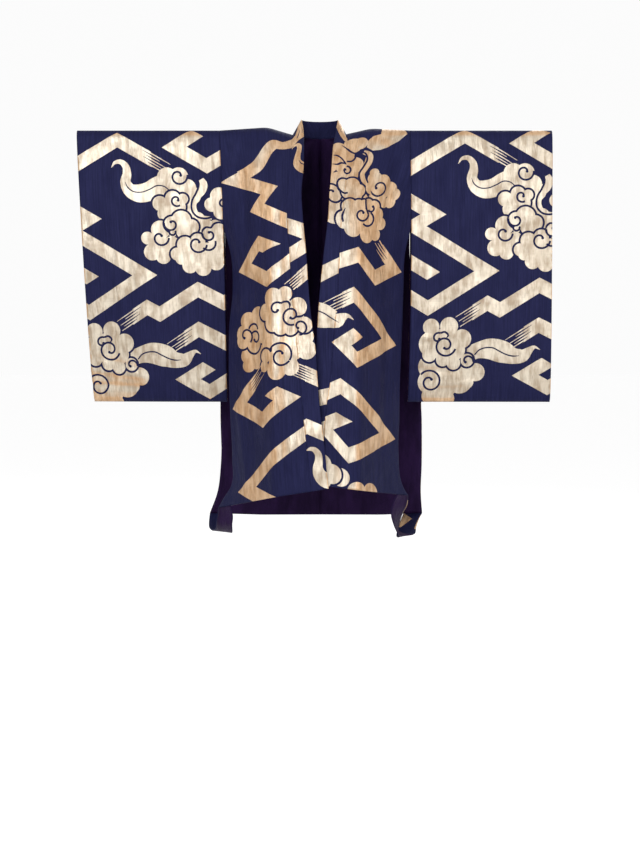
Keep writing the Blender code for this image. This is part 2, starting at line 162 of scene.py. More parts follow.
# Sections of the back, from just behind the shoulder fold to the hem. The first three follow the
# neck, and from the fourth on the seam is the centre seam.
CENTRE_SEAM_FROM = 4
BACK = table(Section, [
    (0.0650, 0.030, -0.010, 0.1410, 0.022, 0.004, 0, 0, -0.010),
    (0.0480, 0.056, -0.010, 0.1430, 0.045, -0.014, 0, 0, -0.035),
    (0.0250, 0.071, -0.011, 0.1460, 0.063, -0.040, 0, 0, -0.075),
    (0.0000, 0.078, -0.014, 0.1480, 0.075, -0.075, 0, 0, -0.110),
    (0.0000, 0.092, -0.060, 0.1500, 0.086, -0.120, 0, 0, -0.150),
    (0.0000, 0.106, -0.130, 0.1500, 0.097, -0.180, 0, 0, -0.200),
    (0.0000, 0.118, -0.210, 0.1500, 0.106, -0.240, 0, 0, -0.250),
    (0.0000, 0.127, -0.300, 0.1520, 0.114, -0.320, 0.2562, 0.048, -0.330),
    (0.0000, 0.134, -0.400, 0.1540, 0.121, -0.410, 0.2620, 0.062, -0.415),
    (0.0000, 0.142, -0.500, 0.1560, 0.128, -0.505, 0.2680, 0.078, -0.510),
    (0.0000, 0.158, -0.620, 0.1580, 0.142, -0.620, 0.2720, 0.097, -0.620),
    (0.0000, 0.174, -0.760, 0.1600, 0.157, -0.760, 0.2750, 0.115, -0.760),
    (0.0000, 0.184, -0.900, 0.1620, 0.167, -0.900, 0.2800, 0.130, -0.898),
    (0.0000, 0.188, -0.980, 0.1640, 0.172, -0.980, 0.2920, 0.137, -0.976),
    (0.0000, 0.190, -1.042, 0.1650, 0.175, -1.041, 0.3040, 0.142, -1.033),
])
# How much nearer the middle the free edge of each back is than in the table, section by section.
BACK_EDGE_NARROWER = {
    "right": (0.0, 0.0, 0.0, 0.0, 0.001, 0.007, 0.009, 0.0),
    "left": (0.0135, 0.010, 0.004, -0.003, -0.004, 0.0, 0.014, 0.022),
}

# The collar band's free edge, section by section beside the tables above.
LAPEL_RIGHT = table(Edge, [
    (-0.0215, -0.238, -0.935),
    (-0.0200, -0.236, -0.919),
    (-0.0178, -0.234, -0.898),
    (-0.0108, -0.228, -0.826),
    (-0.0008, -0.218, -0.740),
    (0.0063, -0.208, -0.660),
    (0.0114, -0.200, -0.585),
    (0.0230, -0.188, -0.500),
    (0.0302, -0.178, -0.417),
    (0.0364, -0.163, -0.324),
    (0.0443, -0.138, -0.240),
    (0.0480, -0.114, -0.180),
    (0.0430, -0.085, -0.112),
    (0.0420, -0.050, -0.050),
    (0.0430, -0.020, -0.014),
    (0.0455, -0.004, 0.012),
    (0.0490, 0.012, 0.031),
])
LAPEL_LEFT = table(Edge, [
    (-0.0420, -0.210, -0.929),
    (-0.0410, -0.209, -0.915),
    (-0.0400, -0.207, -0.895),
    (-0.0365, -0.201, -0.826),
    (-0.0300, -0.192, -0.740),
    (-0.0194, -0.183, -0.660),
    (-0.0110, -0.178, -0.585),
    (-0.0056, -0.172, -0.500),
    (0.0013, -0.166, -0.417),
    (0.0110, -0.156, -0.324),
    (0.0211, -0.137, -0.240),
    (0.0245, -0.114, -0.180),
    (0.0300, -0.085, -0.112),
    (0.0345, -0.050, -0.050),
    (0.0405, -0.020, -0.014),
    (0.0440, -0.004, 0.010),
    (0.0480, 0.012, 0.030),
])
COLLAR_BEHIND = table(Edge, [
    (0.0490, 0.034, 0.034),
    (0.0390, 0.051, 0.034),
    (0.0210, 0.061, 0.034),
    (0.0000, 0.065, 0.034),
])

# The middle line of each strip between the two hems, and the direction in which its width lies.
StripPoint = namedtuple("StripPoint", "x y z width_x width_y width_z")
STRIP_RIGHT = table(StripPoint, [
    (0.2500, -0.046, -1.020, 0.80, 0.60, 0.00),
    (0.2530, -0.036, -1.043, 0.83, 0.55, 0.04),
    (0.2550, -0.012, -1.062, 0.87, 0.48, 0.08),
    (0.2620, 0.030, -1.071, 0.96, 0.22, 0.10),
    (0.2700, 0.070, -1.073, 0.98, 0.00, 0.08),
    (0.2770, 0.102, -1.067, 0.98, -0.15, 0.06),
    (0.2790, 0.128, -1.053, 0.97, -0.22, 0.05),
])
STRIP_LEFT = table(StripPoint, [
    (0.2116, -0.048, -0.988, 0.73, 0.66, -0.16),
    (0.2036, -0.035, -1.017, 0.63, 0.78, -0.03),
    (0.2040, -0.013, -1.048, 0.32, 0.94, 0.05),
    (0.2092, 0.011, -1.073, 0.07, 0.99, 0.08),
    (0.2215, 0.035, -1.083, 0.40, 0.91, 0.04),
    (0.2312, 0.0625, -1.085, 0.93, 0.36, 0.05),
    (0.2376, 0.095, -1.069, 0.98, 0.18, 0.11),
    (0.2480, 0.125, -1.0475, 0.98, 0.19, 0.07),
])

# Creases of the hanging cloth, in millimetres on the flat piece. Those below the shoulder come first.
CREASES = {
    "body_right": table(Crease, [
        (-40, 90, -30, 330, 20, 3.4),
        (-98, 60, 25, 270, 26, -4.0),
        (-118, 300, 12, 420, 26, 3.8),
        (-60, 520, -18, 380, 22, -3.2),
        (-140, 760, 20, 220, 16, 4.0),
        (30, 200, -6, 500, 13, -2.4),
        (35, 640, 10, 300, 15, 2.4),
        (-120, 868, 105, -24, 5, -1.5),
        (-60, -150, -40, -500, 28, 4.5),
        (-116, -300, -30, -600, 30, -5.0),
        (66, -200, 15, -640, 26, 4.0),
        (112, -450, 12, -560, 28, -4.0),
        (-10, -600, -15, -420, 24, -4.0),
        (-150, -905, 150, 18, 6, -1.4),
    ]),
    "body_left": table(Crease, [
        (44, 80, 35, 260, 20, 3.6),
        (98, 110, -20, 300, 24, -3.6),
        (62, 420, 25, 420, 26, 3.4),
        (118, 560, -15, 330, 18, -3.4),
        (-30, 250, 8, 420, 13, 2.4),
        (-35, 700, -6, 260, 14, -2.4),
        (36, 872, 92, 30, 6, -1.4),
        (50, -120, 32, -540, 28, 4.2),
        (108, -260, 24, -520, 26, -4.6),
        (-62, -260, -10, -560, 28, 4.2),
        (-112, -380, -16, -640, 26, -3.8),
        (14, -700, 10, -360, 24, -4.2),
        (20, -845, 130, -16, 6, -1.4),
    ]),
    "sleeve_right": table(Crease, [
        (316, 60, 12, 560, 22, 3.0),
        (238, 150, -18, 520, 28, -3.8),
        (146, 110, 8, 570, 26, 3.4),
        (62, 260, -8, 430, 22, -3.2),
        (4, 648, 150, 18, 9, 2.4),
        (0, 688, 180, 8, 8, -2.4),
        (24, 616, 110, 26, 9, -1.8),
        (300, -80, 10, -560, 26, 3.2),
        (210, -200, -22, -480, 28, -3.8),
        (110, -120, 12, -560, 26, 3.4),
        (30, -330, 16, -360, 20, -2.8),
        (0, -676, 170, -14, 9, -2.2),
    ]),
    "sleeve_left": table(Crease, [
        (72, 90, -12, 540, 24, 3.2),
        (158, 160, 16, 500, 28, -3.6),
        (246, 80, -10, 600, 26, 3.4),
        (322, 220, 10, 460, 22, -3.0),
        (2, 556, 92, 12, 8, 2.2),
        (0, 646, 130, 6, 9, -2.6),
        (6, 690, 170, -8, 8, 2.0),
        (0, 330, 64, 12, 7, -1.6),
        (92, -110, 12, -520, 26, 3.2),
        (190, -180, -20, -500, 28, -3.8),
        (282, -100, 14, -580, 26, 3.2),
        (350, -300, -8, -390, 20, -2.6),
        (0, -664, 150, -16, 9, -2.2),
    ]),
}


# Where the flat cloth of each piece lies.

def unit(vectors):
    """The vectors at length 1."""
    return vectors / np.linalg.norm(vectors, axis=-1, keepdims=True)


def arc_lengths(points):
    """How far along a row of points each one lies."""
    steps = np.linalg.norm(np.diff(points, axis=0), axis=1)
    return np.concatenate(([0.0], np.cumsum(steps)))


def smooth_step(value, low, high):
    """0 below low, 1 above high, and smooth between."""
    share = np.clip((value - low) / (high - low), 0, 1)
    return share * share * (3 - 2 * share)


def smooth_curve(knots, values, where):
    """Values at the given places, on a smooth curve through the rows of values at the knots."""
    step = np.diff(knots)[:, None]
    slope = np.diff(values, axis=0) / step
    tangent = np.vstack((slope[:1], slope))
    tangent[1:-1] = (slope[:-1] * step[1:] + slope[1:] * step[:-1]) / (step[1:] + step[:-1])
    index = np.clip(np.searchsorted(knots, where, side="right") - 1, 0, len(knots) - 2)
    width = step[index]
    share = np.clip((where - knots[index])[:, None] / width, 0, 1)
    first, last = values[index], values[index + 1]
    rise = (3 - 2 * share) * share ** 2
    leave = share * (1 - share) ** 2 * width
    arrive = share ** 2 * (share - 1) * width
    return first + (last - first) * rise + tangent[index] * leave + tangent[index + 1] * arrive


def sleeve_profile():
    """Length, y and drop along the sleeve's section, from the bottom behind over the top fold."""
    behind = [(hang.half_gap, hang.drop) for hang in reversed(SLEEVE_HANG)]
    front = [(-hang.half_gap, hang.drop) for hang in SLEEVE_HANG[1:]]
    points = np.array(behind + front)
    lengths = arc_lengths(points)
    lengths -= lengths[len(SLEEVE_HANG) - 1]
    fine = np.linspace(lengths[0], lengths[-1], PROFILE_POINTS)
    return fine, smooth_curve(lengths, points, fine)


PROFILE_LENGTH, PROFILE = sleeve_profile()


def armhole_x(side, drop):
    """Distance from the middle to the armhole seam at that drop."""
    return side.armhole_x + (side.armhole_lean + side.armhole_bend * drop) * drop


class Form:
    """Where the flat cloth of one piece lies. The subclasses say how; this adds its creases."""

    turn = 1                # 1 if s and t run so that cross(t, s) points out of the cloth
    outward = 1             # 1 if s grows towards the outer edge
    creases = ()

    def freedom(self, s, t):
        """How freely the cloth may stand off here: 0 on a seam, 1 away from it."""
        return np.ones(len(s))

    def relief(self, s, t):
        """Height of the creases, which die out towards the sewn edges."""
        height = np.zeros(len(s))
        for crease in self.creases:
            run = np.array((crease.run_s, crease.run_t)) * MM
            from_start = np.stack((s - crease.s * MM, t - crease.t * MM), axis=1)
            share = np.clip(from_start @ run / (run @ run), 0, 1)
            away = np.linalg.norm(from_start - share[:, None] * run, axis=1)
            height += crease.depth * MM * np.exp(-(away / (crease.width * MM)) ** 2)
        return height * self.freedom(s, t)

    def facing(self, place, s, t):
        """Outward directions of a placed surface."""
        after, before = np.minimum(t + PROBE, self.last), np.maximum(t - PROBE, self.first)
        along = place(s, after) - place(s, before)
        across = place(s + PROBE, t) - place(s - PROBE, t)
        return unit(np.cross(along, across)) * self.turn

    def creased(self, s, t):
        """Points of the creased cloth."""
        bare = self.place(s, t)
        return bare + self.facing(self.place, s, t) * self.relief(s, t)[:, None]

    def surface(self, s, t, lift):
        """Points that stand out from the creased cloth by the lift."""
        return self.creased(s, t) + self.facing(self.creased, s, t) * lift


class BodyForm(Form):
    """A body length, from the back hem over the shoulder to the front hem. s is 0 on its long fold."""

    def __init__(self, side):
        self.side = side
        self.outward = side.sign
        front = {"right": FRONT_RIGHT, "left": FRONT_LEFT}[side.name]
        back = list(BACK)
        narrower = BACK_EDGE_NARROWER[side.name]
        for number, amount in enumerate(narrower, len(BACK) - len(narrower)):
            back[number] = back[number]._replace(edge_x=back[number].edge_x - amount)
        rows = np.array(back[::-1] + front[::-1])
        rows[:, 0] = np.maximum(rows[:, 0], SEAM_GAP / 2)
        rows[:, ALL_X] *= side.sign
        self.knots = arc_lengths(rows[:, FOLD])
        self.knots -= self.knots[len(back)]
        self.nape = self.knots[len(back) - CENTRE_SEAM_FROM]
        self.first, self.last = self.knots[0], self.knots[-1]
        sewn = rows[:, EDGE_Z] >= -ARMHOLE
        rows[sewn, EDGE_XY] = self.armhole_points(rows[sewn, EDGE_Z], self.knots[sewn])
        self.rows = rows

    def freedom(self, s, t):
        left, right = self.span(t)
        to_edge, to_seam = (s - left, right - s) if self.side.sign < 0 else (right - s, s - left)
        open_side = smooth_step(np.abs(t), ARMHOLE, ARMHOLE + SEAM_REACH)
        at_edge = np.maximum(open_side, smooth_step(to_edge, 0, SEAM_REACH))
        open_front = smooth_step(t, self.nape, self.nape + SEAM_REACH)
        at_seam = np.maximum(open_front, smooth_step(to_seam, 0, SEAM_REACH))
        return at_edge * at_seam

    def armhole_points(self, height, t):
        """x and y of the edge where the sleeve is sewn on."""
        half = len(PROFILE) // 2
        gap = np.interp(-height, PROFILE[half:, 1], -PROFILE[half:, 0])
        x = self.side.sign * (armhole_x(self.side, -height) - SEAM_GAP)
        return np.stack((x, np.where(t > 0, -gap, gap)), axis=1)

    def rails(self, t):
        """The seam, the fold and the free edge at t."""
        rows = smooth_curve(self.knots, self.rows, t)
        near = np.abs(t) < SHOULDER_REACH
        rows[near, EDGE_Z] = np.minimum(rows[near, EDGE_Z], 0)
        sewn = rows[:, EDGE_Z] > -ARMHOLE
        rows[sewn, EDGE_XY] = self.armhole_points(rows[sewn, EDGE_Z], t[sewn])
        return rows[:, SEAM], rows[:, FOLD], rows[:, EDGE]

    def span(self, t):
        """The lowest and highest s at t."""
        seam, fold, edge = self.rails(t)
        inner = np.linalg.norm(seam - fold, axis=1)
        outer = np.linalg.norm(edge - fold, axis=1)
        return (-outer, inner) if self.side.sign < 0 else (-inner, outer)

    def place(self, s, t):
        seam, fold, edge = self.rails(t)
        # The cloth runs straight to the edge and straight to the seam, and bends softly at the fold.
        outward = s * self.side.sign
        soft = FOLD_SOFTNESS
        to_edge = np.where(outward > soft, outward, np.maximum(outward + soft, 0) ** 2 / (4 * soft))
        to_seam = np.where(outward < -soft, -outward, np.maximum(soft - outward, 0) ** 2 / (4 * soft))
        return fold + unit(edge - fold) * to_edge[:, None] + unit(seam - fold) * to_seam[:, None]


class SleeveForm(Form):
    """A sleeve, from its bottom seam behind over the top fold to the same seam in front."""

    def __init__(self, side):
        self.side = side
        self.width = side.cuff_x - side.armhole_x
        self.first, self.last = PROFILE_LENGTH[0], PROFILE_LENGTH[-1]

    def freedom(self, s, t):
        to_armhole = self.width - s if self.side.sign < 0 else s
        open_side = smooth_step(np.abs(t), ARMHOLE, ARMHOLE + SEAM_REACH)
        at_armhole = np.maximum(open_side, smooth_step(to_armhole, 0, SEAM_REACH))
        return at_armhole * smooth_step(self.last - np.abs(t), 0, SEAM_REACH)

    def span(self, t):
        return np.zeros(len(t)), np.full(len(t), self.width)

    def place(self, s, t):
        side = self.side
        y = np.interp(t, PROFILE_LENGTH, PROFILE[:, 0])
        drop = np.interp(t, PROFILE_LENGTH, PROFILE[:, 1])
        across = s / self.width if side.sign > 0 else 1 - s / self.width
        inner = armhole_x(side, drop)
        cuff = side.cuff_x + side.cuff_lean * drop
        # Low on the sleeve the layers belly apart half way out, and the cuff swings.
        low = (drop / SLEEVE_HANG[-1].drop) ** 2
        swell = -np.sign(t) * side.swell * 4 * across * (1 - across) * np.sqrt(low) * (1 - low)
        y = y + side.swing * low * across ** 2 + swell
        return np.stack((side.sign * (inner + (cuff - inner) * across), y, -drop), axis=1)


class RailForm(Form):
    """A narrow piece between two rails, each a smooth curve through its own points."""

    def __init__(self, knots, left_points, right_points, left_s, right_s, turn=1):
        self.knots = knots
        self.rows = np.hstack((left_points, right_points, left_s[:, None], right_s[:, None]))
        self.first, self.last = knots[0], knots[-1]
        self.turn = turn

    def rails(self, t):
        """The points of the two rails at t, and the s of each."""
        rows = smooth_curve(self.knots, self.rows, t)
        return rows[:, :3], rows[:, 3:6], rows[:, 6], rows[:, 7]

    def span(self, t):
        return self.rails(t)[2:]

    def place(self, s, t):
        left, right, left_s, right_s = self.rails(t)
        share = (s - left_s) / (right_s - left_s)
        return left + (right - left) * share[:, None]


class CollarForm(Form):
    """Half of the collar band. It lies beside its body length, with the same s and t."""

    def __init__(self, body):
        self.body = body
        side = body.side
        lapel = {"right": LAPEL_RIGHT, "left": LAPEL_LEFT}[side.name]
        edges = np.array(COLLAR_BEHIND[::-1] + lapel[::-1])
        edges[:, 0] *= side.sign
        self.side = side
        self.edges = edges
        self.knots = body.knots[-len(edges):]
        self.first, self.last = self.knots[0], self.knots[-1]

    def rails(self, t):
        """The seam and the free edge at t."""
        seam = self.body.rails(t)[0].copy()
        seam[:, 0] -= self.side.sign * SEAM_GAP / 2
        edge = smooth_curve(self.knots, self.edges, t)
        return seam, edge

    def span(self, t):
        left, right = self.body.span(t)
        seam, edge = self.rails(t)
        width = np.linalg.norm(edge - seam, axis=1)
        return (right, right + width) if self.side.sign < 0 else (left - width, left)

    def place(self, s, t):
        seam, edge = self.rails(t)
        left, right = self.span(t)
        share = (s - left) / (right - left)
        share = share if self.side.sign < 0 else 1 - share
        return seam + (edge - seam) * share[:, None]


def strip_form(body):
    """The strip from a front hem corner down, round behind and up to the back hem corner."""
    side = body.side
    rows = np.array({"right": STRIP_RIGHT, "left": STRIP_LEFT}[side.name])
    mirror = np.array((side.sign, 1, 1))
    middle = rows[:, :3] * mirror
    turn = unit(rows[:, 3:] * mirror) * STRIP_WIDTH / 2
    ends = []
    for t in (body.last, body.first):
        left, right = body.span(np.array([t]))
        outer = (-left if side.sign < 0 else right)[0]
        s = side.sign * np.array((outer - STRIP_WIDTH, outer))
        ends.append(body.place(s, np.array((t, t))))
    inner = np.vstack((ends[0][:1], middle - turn, ends[1][:1]))
    outer = np.vstack((ends[0][1:], middle + turn, ends[1][1:]))
    knots = arc_lengths((inner + outer) / 2)
    zero = np.zeros(len(knots))
    return RailForm(knots, inner, outer, zero, zero + STRIP_WIDTH, -side.sign)


# The figures, charted in millimetres on the flat cloth.

GILT, DARK = 1, 0           # the two inks
BAND_HEIGHT = 41            # of a lightning band, measured down the cloth
LINE = 5.4                  # width of a drawn line
DOT = LINE * 0.72           # radius of the dot that a curl ends in
REPEAT = 745                # length of the loom's repeat
STRAND_PITCH = 6.7          # between the strands of a frayed end, across the band
STRAND_LENGTH = 58.0        # of the longest strand
FRAY = (1.0, 0.44, 0.84, 0.52, 0.92, 0.60)      # length of each strand, as a share of the longest
STRAND_WIDTH, SLIT_WIDTH = 0.50, 0.42           # at the root, as shares of the pitch
SLIT_LENGTH = 0.5           # as a share of a strand's
STRAND_LAP, SLIT_LAP = 2.0, 1.5                 # how far a root goes past the band's end
TAPER = 0.3                 # width of a spike's tip or a line's start, as a share of the full one
CLOSING = 1.4               # how late a curl closes: 1 is evenly, and more is later
MEAN_BEND = 0.6             # of a whole curl, as a share of the radius that it starts with

# How finely the figures are cut.
CHORD = 3.0                 # longest straight piece of a round outline
SWIRL_CHORD = 5.0           # and of a swirl
FEWEST_SIDES = 14           # of a small disc
FEWEST_POINTS = 10          # of a small curl
LONGEST_CUT = 4.0           # longest side of any outline in the mesh
CELL_CLEAR = 0.3            # how near the mesh's other points come to an outline, in cells
SAME_POINT = 1e-4           # points nearer than this are one

Lobe = namedtuple("Lobe", "s t r wide", defaults=(1.0,))


class Chart:
    """Figures on the flat cloth, in millimetres. Each is drawn over the ones before it."""

    def __init__(self):
        self.figures = []

    def fill(self, outline, ink=GILT):
        """A closed outline filled with one ink."""
        self.figures.append((np.array(outline, float), ink))

    def shifted(self, other, shift_s, shift_t, flip=1):
        """Another chart's figures, moved and, with a flip of -1, turned upside down."""
        for outline, ink in other.figures:
            self.fill(outline * (1, flip) + (shift_s, shift_t), ink)
        return self

    def band(self, points, start="run", end="run"):
        """A lightning band: straight runs of one height with pointed corners.

        An end that runs on is cut square, a slant end is cut along the other slope, and a fray end
        splits into strands.
        """
        points = np.array(points, float)
        runs = np.diff(points, axis=0)
        slope = runs[:, 1] / runs[:, 0]
        way = np.sign(runs[:, 0])
        half = BAND_HEIGHT / 2
        sides = []
        for hand in (-1, 1):
            row = [end_corner(points[0], slope[0], way[0], hand, start)]
            for k in range(1, len(runs)):
                over = 0.0
                if way[k] != way[k - 1]:
                    over = hand * (way[k] - way[k - 1]) * half / (slope[k - 1] - slope[k])
                down = slope[k - 1] * over + hand * way[k - 1] * half
                row.append(points[k] + (over, down))
            row.append(end_corner(points[-1], slope[-1], way[-1], hand, end))
            sides.append(row)
        self.fill(sides[0] + sides[1][::-1])
        if start == "fray":
            self.fray(points[0], -runs[0])
        if end == "fray":
            self.fray(points[-1], runs[-1])

    def fray(self, at, run):
        """The split end of a band: gilt strands that run on, and dark slits that cut back.

        A steep band is narrower, and splits into fewer strands.
        """
        toward = run / np.linalg.norm(run)
        strands = FRAY[:round(BAND_HEIGHT * abs(toward[0]) / STRAND_PITCH)]
        pitch = BAND_HEIGHT / len(strands)
        for number, share in enumerate(strands):
            root = at + (0, pitch * (number + 0.5) - BAND_HEIGHT / 2)
            tip = root + toward * STRAND_LENGTH * share
            self.spike(root - toward * STRAND_LAP, tip, pitch * STRAND_WIDTH, GILT)
            if number < len(strands) - 1:
                slit = root + (0, pitch / 2)
                deep = STRAND_LENGTH * SLIT_LENGTH * strands[-1 - number]
                self.spike(slit + toward * SLIT_LAP, slit - toward * deep, pitch * SLIT_WIDTH, DARK)

    def spike(self, root, tip, height, ink):
        """A long thin wedge."""
        up = np.array((0, height / 2))
        self.fill([root - up, root + up, tip + up * TAPER, tip - up * TAPER], ink)

    def disc(self, s, t, r, ink, wide=1.0):
        """A round spot."""
        count = max(FEWEST_SIDES, int(2 * pi * r / CHORD))
        angles = np.arange(count) * 2 * pi / count
        self.fill(np.stack((s + r * wide * np.cos(angles), t + r * np.sin(angles)), axis=1), ink)

    def puffs(self, lobes, curls=(), outlined=True):
        """A cloud's lobes in one group. A line parts the group from the gilt behind it."""
        lobes = [Lobe(*lobe) for lobe in lobes]
        if outlined:
            for lobe in lobes:
                self.disc(lobe.s, lobe.t, lobe.r + LINE, DARK, lobe.wide)
        for lobe in lobes:
            self.disc(lobe.s, lobe.t, lobe.r, GILT, lobe.wide)
        for curl in curls:
            self.curl(*curl)

    def curl(self, s, t, heading, sweep, r, close=0.2):
        """A line that leaves its lobe at a heading and curls in to a dot.

        Angles are in degrees from s towards t. The line bends at r where it starts and at the
        share close of r where it ends. A line that closes to 1 is an open loop and has no dot.
        """
        count = max(FEWEST_POINTS, int(abs(radians(sweep)) * r * MEAN_BEND / CHORD))
        share = np.linspace(0, 1, count)
        angle = np.radians(heading + sweep * share)
        bend = r * (1 - (1 - close) * share ** CLOSING)
        step = np.stack((np.cos(angle), np.sin(angle)), axis=1) * bend[:, None]
        step *= abs(radians(sweep)) / (count - 1)
        points = np.vstack(((0, 0), np.cumsum((step[1:] + step[:-1]) / 2, axis=0))) + (s, t)
        self.stroke(np.column_stack((points, np.full(count, LINE))), DARK)
        if close < 1:
            self.disc(*points[-1], DOT, DARK)

    def swirl(self, points, ink=GILT, step=SWIRL_CHORD):
        """A smooth stroke through rows of s, t and width."""
        points = np.array(points, float)
        lengths = arc_lengths(points[:, :2])
        where = np.linspace(0, lengths[-1], max(3, int(lengths[-1] / step)))
        self.stroke(smooth_curve(lengths, points, where), ink)

    def line(self, points, width=LINE):
        """A drawn line on the gilt, finer at its start."""
        rows = [(s, t, width) for s, t in points]
        rows[0] = rows[0][:2] + (width * TAPER,)
        self.swirl(rows, DARK, CHORD)

    def stroke(self, rows, ink):
        """A stroke through close rows of s, t and width, as one outline."""
        along = unit(np.gradient(rows[:, :2], axis=0))
        aside = np.stack((-along[:, 1], along[:, 0]), axis=1) * rows[:, 2:] / 2
        self.fill(np.vstack((rows[:, :2] - aside, (rows[:, :2] + aside)[::-1])), ink)


def end_corner(point, slope, way, hand, kind):
    """One corner of a band's end."""
    half = BAND_HEIGHT / 2
    if kind == "slant":
        return point + (-hand * way * half / (2 * slope), hand * way * half / 2)
    return point + (0, hand * way * half)


def draw_sleeve_lightning(chart):
    """The lightning of one repeat."""
    chart.band([(-60, 137), (107, 37), (196, 90)], end="fray")
    chart.band([(320, 17), (258, 57), (342, 107), (440, 50)], start="slant")
    chart.band([(-92, 180), (21, 247), (-32, 278), (165, 397), (8, 495), (-90, 436)])
    chart.band([(-70, 355), (22, 410)], end="slant")
    chart.band([(128, 507), (168, 482), (201, 500), (307, 435), (376, 470), (440, 430)], start="fray")
    chart.band([(266, 565), (306, 540), (440, 607)], start="fray")
    chart.band([(332, 637), (272, 673), (332, 706), (440, 640)], start="slant")


def draw_upper_cloud(chart):
    """The cloud at the top right of the repeat, with its tail to the left."""
    chart.puffs([(288, 166, 24), (300, 186, 24), (286, 222, 24), (312, 252, 22), (330, 272, 26),
                 (360, 272, 22), (372, 300, 32), (378, 340, 28), (236, 222, 26), (238, 282, 26)],
                outlined=False)
    chart.swirl([(326, 143, 14), (332, 155, 20), (328, 172, 20), (313, 192, 15), (304, 212, 13),
                 (309, 232, 12), (326, 243, 9), (350, 246, 8)])
    chart.swirl([(89, 112, 1), (98, 99, 8), (113, 96, 13), (127, 108, 18), (130, 128, 23),
                 (125, 150, 28), (134, 170, 36), (156, 180, 47), (184, 176, 50), (210, 163, 54),
                 (238, 152, 56)])
    chart.puffs([(236, 138, 27), (250, 160, 26), (267, 136, 25)], [(290, 131, 85, 385, 23)],
                outlined=False)
    chart.line([(295, 132), (311, 141), (319, 158), (312, 178), (299, 202), (300, 229), (313, 243),
                (333, 247), (352, 243)])
    chart.line([(124, 150), (130, 164), (146, 176), (167, 177), (189, 169), (210, 159), (228, 162),
                (240, 172)], 3.2)
    chart.puffs([(248, 193, 20), (275, 195, 14), (214, 207, 20), (226, 234, 20), (258, 216, 24),
                 (236, 222, 20)],
                [(267, 212, 150, 340, 15.5)])
    chart.puffs([(212, 277, 25), (177, 299, 17), (188, 336, 22), (217, 347, 20), (205, 315, 26),
                 (240, 320, 26)], [(234, 298, 95, 340, 22)])
    chart.puffs([(269, 252, 26), (243, 261, 20), (295, 269, 20), (276, 280, 22)],
                [(222, 258, 95, -330, 19)])
    chart.disc(244, 288, 9, GILT)
    chart.curl(235, 281, 95, -200, 9, 1)
    chart.puffs([(372, 188, 24), (351, 210, 19), (375, 229, 20), (392, 208, 26)],
                [(387, 195, 190, -250, 13)])
    chart.puffs([(277, 317, 22), (311, 307, 20), (254, 341, 17), (265, 353, 16), (288, 371, 21),
                 (323, 377, 22), (358, 362, 22), (300, 342, 28), (335, 345, 34), (372, 345, 26)])
    chart.puffs([(344, 288, 17), (370, 281, 23), (392, 300, 24), (352, 300, 16), (372, 310, 20)],
                [(323, 286, 95, -320, 18), (335, 317, 100, 350, 24.5), (358, 306, 75, 150, 20, 1)],
                outlined=False)
    chart.line([(322, 290), (325, 278), (335, 270), (347, 271), (354, 262), (368, 257), (384, 262),
                (392, 270)])


def draw_lower_cloud(chart):
    """The cloud at the lower left of the repeat, with its tail to the right."""
    chart.puffs([(20, 650, 34), (70, 650, 34), (112, 650, 20), (20, 690, 34), (55, 700, 36),
                 (98, 688, 34), (140, 665, 24), (117, 691, 18), (28, 728, 30), (58, 738, 28)],
                [(-6, 671, -50, 480, 30)], outlined=False)
    chart.swirl([(110, 622, 40), (142, 608, 42), (176, 603, 55), (211, 611, 58), (244, 622, 41),
                 (266, 620, 34), (283, 606, 18), (296, 598, 8), (310, 605, 1)])
    chart.puffs([(18, 545, 22), (66, 543, 24), (101, 576, 25), (20, 590, 34), (15, 618, 19),
                 (51, 631, 18), (80, 640, 18), (116, 633, 17), (50, 590, 40), (84, 606, 26)],
                [(43, 561, 200, -300, 14), (84, 603, 110, 480, 28), (133, 637, -90, -260, 15.5)])
    chart.line([(58, 576), (64, 567), (55, 558), (43, 561)])
    chart.line([(255, 621), (239, 622), (221, 618), (202, 609), (184, 600), (164, 600), (148, 606),
                (136, 619)], 3.6)


def sleeve_chart():
    """A loom repeat of the sleeves: lightning and two clouds over it."""
    chart = Chart()
    for draw in (draw_sleeve_lightning, draw_upper_cloud, draw_lower_cloud):
        draw(chart)
    return chart


def draw_right_cloud(chart):
    """The cloud in the middle of the wearer's right front."""
    chart.puffs([(-88, 642, 20, 1.2), (-85, 667, 18, 1.2), (-56, 663, 17, 1.2), (-45, 640, 24)],
                outlined=False)
    chart.puffs([(92, 606, 24), (96, 640, 26), (70, 620, 26)], outlined=False)
    chart.puffs([(-50, 538, 19, 1.2), (-84, 553, 22, 1.2), (-102, 586, 22, 1.2), (-104, 603, 21, 1.15),
                 (-64, 612, 25), (-34, 590, 25), (-14, 589, 24), (-40, 566, 26), (-70, 580, 24)])
    chart.curl(-83, 574, -72, 158, 17, 1)
    chart.curl(-79, 609, -45, -315, 21, 0.2)
    chart.curl(-73, 586, -40, 300, 18, 0.3)
    chart.puffs([(2, 612, 20), (36, 618, 20), (-18, 618, 14)], outlined=False)
    chart.puffs([(-18, 650, 18), (-24, 676, 15), (16, 686, 28)])
    chart.puffs([(32, 644, 29), (20, 670, 26), (55, 684, 22), (44, 662, 28), (68, 652, 14),
                 (6, 654, 14)], [(-2, 634, -55, 490, 34)],
                outlined=False)
    chart.puffs([(8, 502, 26), (-16, 537, 22), (40, 494, 20), (74, 530, 25), (8, 566, 24),
                 (30, 577, 22), (56, 584, 18), (92, 576, 21), (34, 540, 34), (70, 560, 22)],
                [(29, 517, 215, -300, 17), (65, 575, 165, 430, 24), (78, 602, 0, -350, 20)])
    chart.line([(52, 532), (54, 524), (49, 515), (39, 514), (29, 517)])
    chart.line([(95, 546), (86, 553), (70, 555)])


